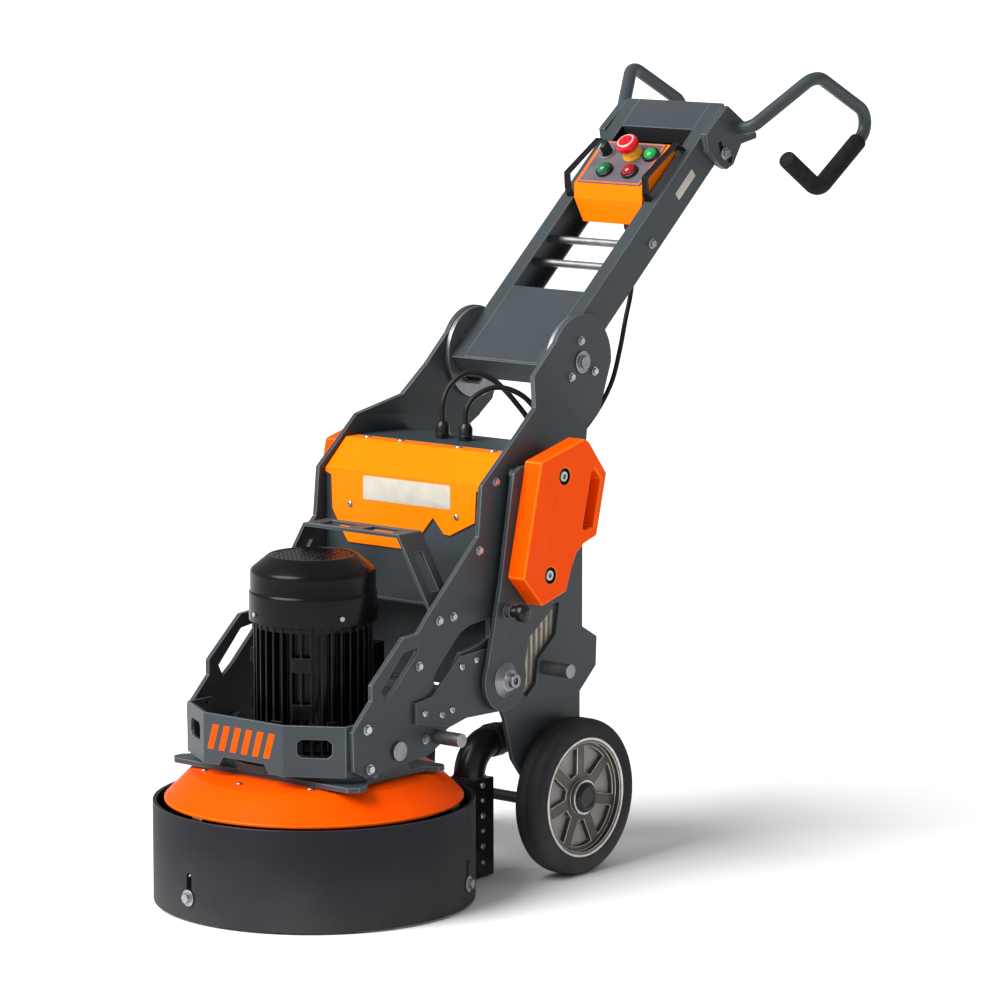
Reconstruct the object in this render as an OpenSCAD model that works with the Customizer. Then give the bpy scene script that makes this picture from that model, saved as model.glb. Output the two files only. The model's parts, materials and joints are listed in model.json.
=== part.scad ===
// Walk-behind planetary concrete floor grinder.
// Floor at z = 0, +Z up, the grinding head towards -Y, the operator towards +Y,
// +X to the right as seen from the front. The origin is the middle of the footprint.
// Shapes are drawn about the grinding head's own axis, and place() moves them back by mid_y.

/* [Frame] */
// Distance over the outer faces of the lower side plates
frame_w = 344; // [330:1:380]
// Distance over the outer faces of the side plates at the handle pivot
neck_w = 232; // [220:1:250]
// Thickness of the side plates
plate_t = 8; // [6:0.5:10]
// Thickness of the doubler plates round the weight pivots
doubler_t = 6; // [4:0.5:6]
// Thickness of the bent sheet of the guard and the lifting bracket
sheet_t = 6; // [4:0.5:8]
// Clearance between pieces that move past each other
gap = 0.4; // [0.3:0.05:1]
// Radial clearance of a shaft in its bore
fit = 0.05; // [0.02:0.01:0.1]

/* [Grinding head] */
// Outside diameter of the dust skirt
skirt_d = 500; // [480:1:540]
// Wall of the dust skirt
skirt_wall = 6; // [4:0.5:8]
// Height of the dust skirt
skirt_h = 157; // [150:1:160]
// Free height under the dust skirt
skirt_lift = 3; // [1:0.5:6]
// Outside diameter of the dome at its lower edge
dome_d = 464; // [456:1:466]
// Diameter of the dome's flat top
dome_top_d = 380; // [360:1:390]
// Wall of the dome
dome_wall = 4; // [3:0.5:5]
// Height of the head's pivot pins above the floor
trunnion_z = 254; // [250:1:258]
// Radius of the head's pivot pins
trunnion_r = 9; // [7:0.5:10]

/* [Planetary drive] */
// Size of the gear teeth as pitch diameter over tooth count
gear_module = 5; // [4.8:0.1:5.1]
// Teeth on the sun gear
sun_teeth = 18; // [18]
// Teeth on each satellite gear
planet_teeth = 30; // [30]
// Face width of the gears
gear_w = 14; // [10:1:15]
// Diameter of each satellite's tool plate
tool_plate_d = 196; // [180:1:200]
// Radius of the satellite shafts
satellite_shaft_r = 15; // [12:0.5:18]
// Radius of the motor shaft
motor_shaft_r = 14; // [10:0.5:16]

/* [Motor] */
// Diameter over the motor's cooling fins
motor_d = 186; // [170:1:190]
// Number of cooling fins
fin_count = 36; // [24:4:44]
// Largest diameter of the motor's fan cover
fan_cover_d = 198; // [194:1:204]
// Height of the fan cover's top above the floor
motor_top_z = 541; // [535:1:550]

/* [Wheels] */
// Outside diameter of the tyres
wheel_d = 250; // [230:1:260]
// Width of the tyres
wheel_w = 50; // [40:1:56]
// Gap between the frame and the tyre
wheel_gap = 10; // [8:1:14]
// Diameter of the rim
rim_d = 192; // [180:1:200]
// Radius of the wheel axles
axle_r = 10; // [8:0.5:12]
// Distance from the head's axis back to the axle
axle_y = 387; // [375:1:395]

/* [Weights] */
// Thickness of each weight slab
weight_t = 34; // [26:1:40]
// Thickness of each weight arm
arm_t = 8; // [6:0.5:10]
// Radius of the weight pivot pins
weight_pin_r = 14; // [12:0.5:16]

/* [Handle] */
// Angle of the handle to the floor
handle_tilt = 40.5; // [38:0.5:43]
// Distance over the handle's rails
handle_w = 200; // [194:1:206]
// Depth of the rails
rail_h = 62; // [56:1:66]
// Width of the rails' flanges
rail_flange = 26; // [22:1:30]
// Sheet thickness of the rails
rail_t = 4; // [3:0.5:5]
// Length of the rails above the fold pivot
rail_len = 553; // [540:1:580]
// Radius of the index discs at the fold pivot
disc_r = 76; // [72:0.5:80]
// Radius of the fold pivot pin
fold_pin_r = 10; // [8:0.5:12]

/* [Handlebars] */
// Outside diameter of the handlebar tube
bar_d = 22; // [20:0.5:26]
// Outside diameter of the foam grips
grip_d = 30; // [28:0.5:36]
// Distance from the middle of the machine out to each handle loop
loop_x = 194; // [180:1:205]

/* [Hidden] */

slate = "#565E61";
orange = "#FF8A00";
black = "#1E1F21";
charcoal = "#33343A";
zinc = "#B9BCBE";

plate_x = frame_w / 2;            // outer face of a lower side plate
plate_in = plate_x - plate_t;     // its inner face
neck_x = neck_w / 2;              // outer face at the handle pivot
disc_in = neck_x - plate_t;
side_step = plate_x - neck_x;     // how far each plate steps in towards its neck
doubler_x = plate_x + doubler_t;
skirt_r = skirt_d / 2;
axle_z = wheel_d / 2;
tyre_x = plate_x + wheel_gap;     // inner face of a tyre
rim_r = rim_d / 2;
hub_r = 27;

// Weight pivot, in the side plates
weight_y = 236;
weight_z = 332;
weight_gap = 4.4;                 // room for low bolt heads under the weight arms
arm_x = doubler_x + weight_gap;
slab_x = arm_x + arm_t;

// Handle fold pivot, in the necks of the side plates
fold_y = 517;
fold_z = 798;
rail_start = -53;                 // lower end of the rails, along them from the fold pivot
rail_top = 43;                    // the rails' upper face, above the fold pivot
rail_x = handle_w / 2;
disc_gap = 0.4;

// Levels of the planetary drive
sun_r = gear_module * sun_teeth / 2;
planet_r = gear_module * planet_teeth / 2;
orbit_r = sun_r + planet_r;
ring_teeth = sun_teeth + 2 * planet_teeth;
ring_r = gear_module * ring_teeth / 2;
gear_z = 152;
carrier_top = gear_z - 6;
carrier_t = 12;
dome_z = 160;                     // lower edge of the dome
dome_top = 204;
plate_z = 209.5;                  // underside of the head plate
head_plate_t = 8;
motor_z = plate_z + head_plate_t;
tool_h = 18;
tool_plate_t = 12;

// Skirt bolts
skirt_angles = [-8, 112, 232];
skirt_bolt_z = 39;
skirt_drop = 20;
skirt_bolt_r = 5;

// Rear dust outlet
duct = [[67, 121], [215, 290]];   // across and along
elbow_d = 50;
elbow_x = (duct[0][0] + duct[0][1]) / 2;
elbow_y = 262;
elbow_r = 50;
elbow_z = 211;
elbow_end = 470;

// Handlebar route and pivot
bar_y = 935;
bar_z = 1148;
bar_r = bar_d / 2;
grip_r = grip_d / 2;
bracket_t = 6;
bar_x = rail_x + 2 * bracket_t + gap;    // outer face of the moving bracket

front_y = -skirt_r;
loop_back = 1184;                        // rearmost point of a loop's centre line
back_y = loop_back + grip_r;
mid_y = (front_y + back_y) / 2;

// ---------- helpers ----------
module place() { translate([0, -mid_y, 0]) children(); }
module side(s) { if (s > 0) children(); else mirror([1, 0, 0]) children(); }
module both() { children(); mirror([1, 0, 0]) children(); }
// An outline of [y, z] points made a plate from x0 to x1
module plate(x0, x1, points) {
    translate([x0, 0, 0]) rotate([90, 0, 90]) linear_extrude(x1 - x0) polygon(points);
}
// A round bar along X
module bar_along_x(x0, x1, y, z, r) {
    translate([x0, y, z]) rotate([0, 90, 0]) cylinder(h = x1 - x0, r = r, $fn = 48);
}
// A washer and a hexagon head that stand out along X from the face at x
module bolt_x(x, y, z, r = 4, head_h = 6) {
    bar_along_x(x, x + 1.5, y, z, 2.1 * r);
    translate([x + 1.5, y, z]) rotate([0, 90, 0]) cylinder(h = head_h - 1.5, r = 1.6 * r, $fn = 6);
}
function polar(r, a) = [r * cos(a), r * sin(a)];
// Gear outline: half widths are shares of the tooth pitch at the root and at the tip
function gear_outline(teeth, root_r, tip_r, root_half, tip_half, turn = 0) =
    [for (i = [0 : teeth - 1]) let (p = 360 / teeth, a = i * p + turn) each
        [polar(root_r, a - root_half * p), polar(tip_r, a - tip_half * p),
         polar(tip_r, a + tip_half * p), polar(root_r, a + root_half * p)]];
function arc_points(c, r, from, to, steps) =
    [for (i = [0 : steps]) c + polar(r, from + (to - from) * i / steps)];
function unit(v) = v / norm(v);
// Points of a route with straight runs that meet at the corners in bends of the given radii
function bend_points(a, b, c, r, steps) =
    let (d = unit(b - a), e = unit(c - b), turn = acos(d * e), cut = r * tan(turn / 2),
         v = unit(e - d * (d * e)), centre = b - d * cut + v * r)
    [for (i = [0 : steps]) let (s = turn * i / steps) centre - v * r * cos(s) + d * r * sin(s)];
function bent_route(corners, bends, steps = 8) = let (n = len(corners)) concat([corners[0]],
    [for (i = [1 : n - 2]) each bend_points(corners[i - 1], corners[i], corners[i + 1], bends[i], steps)],
    [corners[n - 1]]);
// Handle frame: x across, u along the rails from the fold pivot, w above them
module on_handle() { translate([0, fold_y, fold_z]) rotate([handle_tilt, 0, 0]) children(); }

// ---------- side plates ----------
crease_a = 34.6;                 // slope of the two bend lines, down towards the back
lower_bend = 753.5;              // where the bends start and end, square to the bend lines
upper_bend = 871.2;
plate_outline = concat(
    [[-72, 222], [-102, 237], [-104, 298], [-60, 340], [-60, 364], [14, 427], [48, 429], [74, 455],
     [192, 561], [200, 639], [251, 680], [292, 714], [369, 741], [395, 786]],
    arc_points([fold_y, fold_z], disc_r, 150, -5, 24),
    [[564, 716], [533, 695], [450, 605], [450, 385], [487, 364], [485, 317], [444, 281],
     [444, 243], [444, axle_z + 12]],
    arc_points([axle_y, axle_z], 46, 15, -165, 12),
    [[276, 196], [256, 264], [241, 292], [160, 285], [115, 269], [106, 251], [72, 236], [11, 231]]);
hand_slot = [[47, 408], [14, 404], [-38, 352], [-28, 334], [-4, 352], [47, 399]];
front_window = [[218, 430], [171, 425], [147, 416], [91, 365], [84, 357], [87, 331], [110, 335],
    [150, 385], [195, 392], [218, 400]];
rear_window = [[391, 432], [383, 381], [340, 348], [333, 309], [308, 290], [300, 300], [302, 432]];
doubler_outline = concat([[35, 290], [35, 323], [74, 328], [101, 350], [140, 381], [195, 384]],
    arc_points([weight_y, weight_z], 52, 100, -90, 16), [[156, 282], [118, 274]]);

// Section of the bent sheet, along the square of the bend lines and across X
module bent_sheet() {
    multmatrix([[0, 1, 0, 0], [sin(crease_a), 0, cos(crease_a), 0], [cos(crease_a), 0, -sin(crease_a), 0]])
        translate([0, 0, -1200]) linear_extrude(2400)
            polygon([[-400, plate_in], [lower_bend, plate_in], [upper_bend, disc_in], [1600, disc_in],
                [1600, neck_x], [upper_bend + 2, neck_x], [lower_bend + 2, plate_x], [-400, plate_x]]);
}
// The space between the bent side plates, a clearance in from their inner faces
module between_plates(inset) {
    x0 = plate_in - inset;
    x1 = disc_in - inset;
    multmatrix([[0, 1, 0, 0], [sin(crease_a), 0, cos(crease_a), 0], [cos(crease_a), 0, -sin(crease_a), 0]])
        translate([0, 0, -1200]) linear_extrude(2400) polygon([[-400, -x0], [-400, x0], [lower_bend - 1, x0],
            [upper_bend, x1], [1600, x1], [1600, -x1], [upper_bend, -x1], [lower_bend - 1, -x0]]);
}
module side_plate(s) {
    color(slate) side(s) difference() {
        union() {
            intersection() {
                plate(60, plate_x + 20, plate_outline);
                bent_sheet();
            }
            plate(plate_x, doubler_x, doubler_outline);
        }
        plate(plate_in - 1, plate_x + 1, hand_slot);
        plate(plate_in - 1, plate_x + 1, front_window);
        plate(plate_in - 1, plate_x + 1, rear_window);
        bar_along_x(plate_in - 1, plate_x + 1, 0, trunnion_z, trunnion_r + fit);
        bar_along_x(plate_in - 1, doubler_x + 1, weight_y, weight_z, weight_pin_r);
        bar_along_x(plate_in - 1, plate_x + 1, axle_y, axle_z, axle_r);
        bar_along_x(disc_in - 1, neck_x + 1, fold_y, fold_z, fold_pin_r + fit);
    }
}
module side_plate_left() side_plate(-1);
module side_plate_right() side_plate(1);

// ---------- chassis ----------
guard_low = 228;
guard_h = 79;
// Guard round the front of the motor: front panel, two windowed corners and two side flanges
module front_guard() {
    x1 = 82;
    flange_x = plate_in;
    color(slate) difference() {
        translate([0, 0, guard_low]) linear_extrude(guard_h) polygon([
            [-flange_x, -60], [-flange_x, -111], [-x1, -161], [x1, -161], [flange_x, -111], [flange_x, -60],
            [flange_x - sheet_t, -60], [flange_x - sheet_t, -111 + sheet_t / 2], [x1 - 2, -161 + sheet_t],
            [-x1 + 2, -161 + sheet_t], [-flange_x + sheet_t, -111 + sheet_t / 2],
            [-flange_x + sheet_t, -60]]);
        both() translate([(x1 + flange_x) / 2, -136, guard_low + 44]) rotate([0, 0, 31.5])
            rotate([90, 0, 0]) translate([0, 0, -30]) linear_extrude(60)
                polygon([[-27, -8], [-20, -14], [20, -14], [27, -8], [27, 8], [20, 14], [-20, 14], [-27, 8]]);
        translate([0, 0, guard_low - 1]) rotate([90, 0, 0]) translate([0, 0, 150]) linear_extrude(20)
            polygon([[-52, 0], [-42, 15], [42, 15], [52, 0]]);
        both() for (p = [[-72, 298], [-66, 236]]) bar_along_x(plate_in - 20, plate_in + 1, p[0], p[1], 4);
    }
}
// Bent lifting bracket over the back of the motor
bracket_y = [87, 142];
bracket_top = 569.5;
bracket_bolts = [[97, 442], [130, 444]];
module lifting_bracket() {
    half = [[0, bracket_top], [98, bracket_top], [plate_in, 457], [plate_in, 415],
        [plate_in - sheet_t, 415], [plate_in - sheet_t, 455], [95, bracket_top - sheet_t],
        [0, bracket_top - sheet_t]];
    color(slate) difference() {
        both() translate([0, bracket_y[1], 0]) rotate([90, 0, 0])
            linear_extrude(bracket_y[1] - bracket_y[0]) polygon(half);
        both() translate([14, 97, bracket_top - 10]) cube([62, 34, 20]);
        both() translate([(98 + plate_in) / 2 + 3, 114, (bracket_top + 457) / 2]) rotate([0, 60, 0])
            cube([66, 20, 30], center = true);
        both() for (p = bracket_bolts) bar_along_x(plate_in - 20, plate_in + 1, p[0], p[1], 4);
    }
}
cross_bar_r = 9;
// Welded cross tubes and the cabinet floor that hold the side plates apart
module cross_members() {
    color(slate) {
        bar_along_x(-plate_in, plate_in, 360, 113, cross_bar_r);
        bar_along_x(-plate_in, plate_in, 262, 292, 8);
        bar_along_x(-plate_in, plate_in, 425, 276, 12);
        translate([-plate_in, 215, 436]) cube([2 * plate_in, 225, 4]);
        translate([-plate_in, 277, 300]) cube([2 * plate_in, 3, 137]);
        difference() {
            translate([-plate_in, 436, 290]) cube([2 * plate_in, 4, 146]);
            for (x = [-110 : 55 : 110]) translate([x - 18, 430, 320]) cube([36, 20, 90]);
        }
    }
}
cabinet_gap = 1;                 // between the cabinet and the side plates
cabinet_x = plate_in - cabinet_gap;
cabinet_wall = 3;
entry = [[42, 125], [545, 588]];  // cable entry box on the cabinet's back, across and up
// Electrical cabinet: a folded steel box, open at the front behind its cover
module cabinet_shell() {
    color(slate) difference() {
        intersection() {
            plate(-plate_x, plate_x, [[215, 440], [440, 440], [440, 560], [400, 678], [264, 678],
                [215, 634]]);
            between_plates(cabinet_gap);
        }
        intersection() {
            plate(-plate_x, plate_x, [[218, 443], [437, 443], [437, 559.5], [398, 675], [265, 675],
                [218, 632.5]]);
            between_plates(cabinet_gap + cabinet_wall);
        }
        for (p = gland_places) translate([p[0], p[1], 670]) cylinder(h = 20, r = gland_r, $fn = 32);
        both() translate([40, 205, 584]) cube([90, 20, 40]);
        translate([0, 445, 500]) rotate([90, 0, 0]) cylinder(h = 20, r = 22, $fn = 48);
    }
    color(slate) translate([entry[0][0], 440, entry[1][0]])
        cube([entry[0][1] - entry[0][0], 26, entry[1][1] - entry[1][0]]);
}
cover_t = 2.5;
cover_low = 521;                 // lowest edge of the cover's front
// Folded cover over the cabinet's front and top edge
module cabinet_cover() {
    color(orange) difference() {
        plate(-cabinet_x, cabinet_x, [[215 - gap, 634], [264, 678 + gap], [290, 678 + gap],
            [290, 678 + gap + cover_t], [262.5, 678 + gap + cover_t], [215 - gap - cover_t, 636],
            [215 - gap - cover_t, cover_low], [215 - gap, cover_low]]);
        translate([0, 240, 0]) rotate([90, 0, 0]) linear_extrude(60) polygon([[-170, 500], [-170, 632],
            [-150, 626], [-148, 572], [-125, 535], [-115, cover_low], [15, cover_low], [62, 577], [84, 553],
            [96, 552], [147, 577], [150, 626], [170, 632], [170, 500]]);
        both() for (x = [60, 130]) translate([x, 278, 660]) cylinder(h = 40, r = 3.2, $fn = 24);
    }
}
gland_places = [[-30, 345], [18, 345]];
gland_r = 9;
module cabinet_lid() {
    color(slate) difference() {
        intersection() {
            translate([-cabinet_x, 290 + gap, 678]) cube([2 * cabinet_x, 400 - 290 - gap, 3]);
            between_plates(cabinet_gap);
        }
        for (p = gland_places) translate([p[0], p[1], 670]) cylinder(h = 20, r = gland_r, $fn = 32);
    }
}
// Finned heat sink of the motor drive under the cabinet, seen through the side plate's window
module heat_sink() {
    color("#D9D4C4") both() difference() {
        translate([70, 285, 296]) cube([plate_in - 74, 145, 140]);
        for (i = [0 : 10]) translate([60, 289 + 12.5 * i, 304]) cube([plate_in - 60, 7, 140]);
        translate([60, 280, 290]) cube([40, 160, 138]);
    }
}
lid_z = 681;
// Cable glands on the lid, and the mains inlet at the back of the cabinet
module glands() {
    color(black) {
        for (p = gland_places) translate([p[0], p[1], 0]) difference() {
            union() {
                translate([0, 0, lid_z - 8]) cylinder(h = 8, r = gland_r - 0.2, $fn = 32);
                translate([0, 0, lid_z]) cylinder(h = 8, r = 13, $fn = 6);
                translate([0, 0, lid_z + 8]) cylinder(h = 12, r = 11, $fn = 32);
                translate([0, 0, lid_z + 20]) cylinder(h = 7, r1 = 11, r2 = 7, $fn = 32);
            }
            translate([0, 0, lid_z + 7]) cylinder(h = 40, r = 4.9, $fn = 32);
        }
        translate([0, 440, 500]) rotate([-90, 0, 0]) difference() {
            union() {
                translate([-32, -32, 0]) cube([64, 64, 6]);
                cylinder(h = 48, r = 27, $fn = 48);
            }
            translate([0, 0, 8]) cylinder(h = 60, r = inlet_r, $fn = 48);
        }
    }
}
inlet_r = 23;
trunnion_head = 4.5;
stop_r = 11;
// Wheel axles, head pivots, weight pivots, and the stops of the weight arms
module axles_and_pins() {
    color(zinc) both() {
        bar_along_x(plate_in - 8, tyre_x + wheel_w + 2, axle_y, axle_z, axle_r);
        bar_along_x(plate_x, tyre_x - gap, axle_y, axle_z, 19);
        bar_along_x(plate_in - 18, plate_in - 8, axle_y, axle_z, 16);
        bar_along_x(head_lug_x - 18, plate_x + 1, 0, trunnion_z, trunnion_r);
        bar_along_x(plate_x + 1, plate_x + 1 + trunnion_head, 0, trunnion_z, 15);
        bar_along_x(plate_in, slab_x + 12, weight_y, weight_z, weight_pin_r);
        bar_along_x(doubler_x, arm_x - gap, weight_y, weight_z, 30);
        translate([slab_x + gap, weight_y, weight_z]) rotate([0, 90, 0])
            cylinder(h = 9, r1 = 28, r2 = 16, $fn = 48);
        translate([slab_x + 12, weight_y, weight_z]) rotate([0, 90, 0]) difference() {
            cylinder(h = 9, r = 11, $fn = 48);
            translate([0, 0, 3]) cylinder(h = 10, r = 6, $fn = 6);
        }
        bar_along_x(plate_x, slab_x + weight_t - 2, 92, 262, stop_r);
        bar_along_x(plate_x, slab_x + weight_t - 2, 358, 331, stop_r);
    }
}
head_lug_x = plate_in - gap;      // outer face of the head's two pivot lugs
index_bolts = [[514, 832], [490, 776], [549, 780]];
// Hexagon and round fasteners on the chassis
module frame_bolts() {
    color(zinc) both() {
        for (p = concat(bracket_bolts, [[49, 378], [233, 642], [273, 651], [193, 539], [64, 262]]))
            bolt_x(plate_x, p[0], p[1], 3.5, 5);
        for (p = [[-72, 298], [-66, 236]]) bolt_x(plate_x, p[0], p[1], 4, 6);
        for (p = index_bolts) bolt_x(neck_x, p[0], p[1], 3.5, 5);
        for (p = [[56, 304], [96, 296], [120, 300], [144, 364], [179, 370]])
            bar_along_x(doubler_x, doubler_x + 3.4, p[0], p[1], 6);
        for (x = [60, 130]) translate([x, 278, 678 + gap + cover_t]) cylinder(h = 3, r = 6, $fn = 24);
        translate([110, 215 - gap - cover_t, 583]) rotate([90, 0, 0]) cylinder(h = 3, r = 5, $fn = 24);
    }
}
// Cable routes; their points were chosen by eye and stay as they are
function mix(a, b, t) = a * (1 - t) + b * t;
function curve(p, i, t) = let (n = len(p) - 1, a = p[max(i - 1, 0)], b = p[i], c = p[min(i + 1, n)],
    d = p[min(i + 2, n)]) 0.5 * (2 * b + (c - a) * t + (2 * a - 5 * b + 4 * c - d) * t * t
    + (3 * b - 3 * c + d - a) * t * t * t);
function smooth(p, steps) = concat([for (i = [0 : len(p) - 2], k = [0 : steps - 1]) curve(p, i, k / steps)],
    [p[len(p) - 1]]);
function along(p, i) = unit(p[min(i + 1, len(p) - 1)] - p[max(i - 1, 0)]);
// Frames carried along the route, so that the tube doesn't twist
function frames(p, i = 0, u = undef) = i >= len(p) ? [] :
    let (t = along(p, i), raw = is_undef(u) ? cross(t, [0.3, 0.2, 1]) : u - t * (u * t), v = unit(raw))
    concat([[v, cross(t, v)]], frames(p, i + 1, v));
module tube(route, r, sides, steps) { sweep(smooth(route, steps), r, sides); }
module sweep(p, r, sides) {
    f = frames(p);
    n = len(p);
    rings = [for (i = [0 : n - 1], k = [0 : sides - 1])
        p[i] + r * (cos(360 * k / sides) * f[i][0] + sin(360 * k / sides) * f[i][1])];
    walls = [for (i = [0 : n - 2], k = [0 : sides - 1])
        let (a = i * sides, b = a + sides, j = (k + 1) % sides) [a + k, b + k, b + j, a + j]];
    polyhedron(rings, concat([[for (k = [0 : sides - 1]) k]], walls,
        [[for (k = [sides - 1 : -1 : 0]) (n - 1) * sides + k]]));
}
cable_routes = [
    [[-30, 345, 694], [-30, 346, 735], [-26, 360, 765], [-8, 385, 784], [22, 412, 770], [55, 432, 730],
     [78, 446, 690], [86, 453, 650], [84, 453, 615], [84, 453, 588]],
    [[18, 345, 694], [18, 347, 730], [26, 362, 752], [48, 390, 764], [78, 418, 748], [102, 440, 706],
     [114, 453, 660], [112, 453, 620], [110, 453, 588]]];
control_route = [[30, 752, 989], [30, 754, 972], [36, 748, 948], [54, 726, 918], [74, 696, 888],
    [84, 670, 850], [84, 655, 800], [80, 636, 745], [70, 596, 690], [62, 532, 645], [58, 470, 622],
    [57, 454, 606], [57, 453, 588]];
module cabinet_cables() { color(black) for (r = cable_routes) tube(r, 4.5, 8, 2); }
module control_cable() { color(black) tube(control_route, 4, 8, 3); }

// ---------- wheels ----------
module along_axle(s) { side(s) translate([tyre_x, axle_y, axle_z]) rotate([0, 90, 0]) children(); }
module tyre(s) {
    r = axle_z;
    color(black) along_axle(s) rotate_extrude($fn = 96) polygon(concat(
        [[rim_r, 3], [rim_r + 8, 1], [r - 12, 0.5], [r - 4, 3], [r, 10]],
        [[r, wheel_w - 10], [r - 4, wheel_w - 3], [r - 12, wheel_w - 0.5], [rim_r + 8, wheel_w - 1],
         [rim_r, wheel_w - 3]]));
}
module rim(s) {
    color("#A9A69F") along_axle(s) difference() {
        union() {
            difference() {
                translate([0, 0, 3]) cylinder(h = wheel_w - 6, r = rim_r, $fn = 96);
                translate([0, 0, 2]) cylinder(h = 14, r = rim_r - 8, $fn = 96);
                translate([0, 0, wheel_w - 12]) cylinder(h = 14, r = rim_r - 8, $fn = 96);
            }
            translate([0, 0, 1]) cylinder(h = wheel_w - 6, r = hub_r, $fn = 64);
        }
        for (i = [0 : 6]) rotate([0, 0, i * 360 / 7]) translate([0, 0, -1]) linear_extrude(wheel_w + 2)
            polygon(concat(arc_points([0, 0], rim_r - 16, 19, -19, 6),
                arc_points([0, 0], hub_r + 12, -11, 11, 4)));
        translate([0, 0, -1]) cylinder(h = wheel_w + 4, r = axle_r + fit, $fn = 64);
    }
}
module hub_cap(s) {
    color(black) along_axle(s) difference() {
        union() {
            translate([0, 0, wheel_w - 5]) cylinder(h = 6, r = hub_r - 3, $fn = 64);
            translate([0, 0, wheel_w + 1]) cylinder(h = 3, r1 = hub_r - 3, r2 = hub_r - 8, $fn = 64);
        }
        translate([0, 0, wheel_w - 6]) cylinder(h = 8.4, r = axle_r + 1, $fn = 64);
    }
}
module tyre_left() tyre(-1);
module tyre_right() tyre(1);
module rim_left() rim(-1);
module rim_right() rim(1);
module hub_cap_left() hub_cap(-1);
module hub_cap_right() hub_cap(1);

// ---------- grinding head ----------
dome_r = dome_d / 2;
dome_top_r = dome_top_d / 2;
cone_inset = 5.6;                // the dome's wall measured across the cone
module dome() {
    color(orange) rotate_extrude($fn = 128) polygon([[dome_r, dome_z], [dome_r, dome_z + 4],
        [dome_top_r + 3, dome_top - 1], [dome_top_r, dome_top], [150, plate_z], [60, plate_z],
        [60, plate_z - dome_wall], [148, plate_z - dome_wall], [dome_top_r - 3, dome_top - dome_wall],
        [dome_r - cone_inset, dome_z + 2], [dome_r - cone_inset, dome_z]]);
}
lug_t = 10;
// Head plate over the dome, its two pivot lugs, and the ring that carries the motor
module head_plate() {
    tip = plate_x + 20;
    color(slate) difference() {
        union() {
            translate([0, 0, plate_z]) linear_extrude(head_plate_t) polygon([
                [-tip + 14, -125], [tip - 14, -125], [tip, -112], [tip, -96], [head_lug_x, -60],
                [head_lug_x, 70], [tip - 10, 84], [tip - 10, 98], [tip - 20, 106], [-tip + 20, 106],
                [-tip + 10, 98], [-tip + 10, 84], [-head_lug_x, 70], [-head_lug_x, -60], [-tip, -96],
                [-tip, -112]]);
            both() translate([head_lug_x - lug_t, 0, 0]) rotate([90, 0, 90]) linear_extrude(lug_t)
                polygon(concat([[-40, motor_z - 1], [40, motor_z - 1]],
                    arc_points([0, trunnion_z], 20, -10, 190, 12)));
        }
        translate([0, 0, plate_z - 1]) cylinder(h = 30, r = 60, $fn = 64);
        both() bar_along_x(head_lug_x - lug_t - 1, head_lug_x + 1, 0, trunnion_z, trunnion_r + fit);
    }
    color(black) difference() {
        translate([0, 0, motor_z]) cylinder(h = 12, r = 132, $fn = 96);
        translate([0, 0, motor_z - 1]) cylinder(h = 20, r = 60, $fn = 64);
    }
}
gearbox_wall = 8;
// Fixed ring gear, its lid and the column that hangs it under the dome
module gearbox() {
    lid = gear_z + gear_w + 5;
    color(zinc) difference() {
        union() {
            translate([0, 0, gear_z - 1]) cylinder(h = gear_w + 4, r = ring_r + gearbox_wall + 6, $fn = 128);
            translate([0, 0, lid - 3]) cylinder(h = 4, r = ring_r + 2, $fn = 128);
            translate([0, 0, lid]) cylinder(h = plate_z - dome_wall - lid, r = 106, $fn = 96);
        }
        translate([0, 0, gear_z - 2]) linear_extrude(gear_w + 4) polygon(gear_outline(ring_teeth,
            ring_r - 0.9 * gear_module, ring_r + 1.2 * gear_module, 0.38, 0.18, 180 / ring_teeth));
        translate([0, 0, lid - 6]) cylinder(h = 80, r = 60, $fn = 64);
    }
}
motor_r = motor_d / 2;
shell_z = motor_z + 12;
cover_z = 441;                   // lower edge of the fan cover
bead_z = cover_z + 43;           // step round the fan cover
bore_r = 68;
// Finned motor housing with its end rings, terminal box and lugs
module motor_body() {
    color(black) {
        difference() {
            union() {
                translate([0, 0, shell_z]) cylinder(h = 14, r = motor_r, $fn = 96);
                translate([0, 0, shell_z]) cylinder(h = cover_z + 8 - shell_z, r = motor_r - 14, $fn = 96);
                translate([0, 0, cover_z - 10]) cylinder(h = 10, r = motor_r - 3, $fn = 96);
                translate([0, 0, cover_z]) cylinder(h = 8, r = fan_r - fan_wall - 0.1, $fn = 96);
                for (i = [0 : fin_count - 1]) rotate([0, 0, i * 360 / fin_count])
                    translate([motor_r - 18, -1.5, shell_z + 2]) cube([17.5, 3, cover_z - shell_z - 6]);
            }
            translate([0, 0, shell_z + 14]) cylinder(h = cover_z - shell_z - 24, r = bore_r, $fn = 96);
            translate([0, 0, shell_z - 1]) cylinder(h = 300, r = motor_shaft_r + fit, $fn = 64);
        }
        for (a = [-59, 31], z = [300, 372]) rotate([0, 0, a]) translate([-15, -motor_r - 3, z])
            cube([30, 9, 22]);
        for (a = [-64, 4, 60]) rotate([0, 0, a]) translate([-9, -motor_r - 2, 250]) cube([18, 10, 44]);
        translate([-38, motor_r - 4, 322]) cube([76, 34, 70]);
    }
}
fan_r = fan_cover_d / 2;
fan_wall = 2.5;
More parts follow.
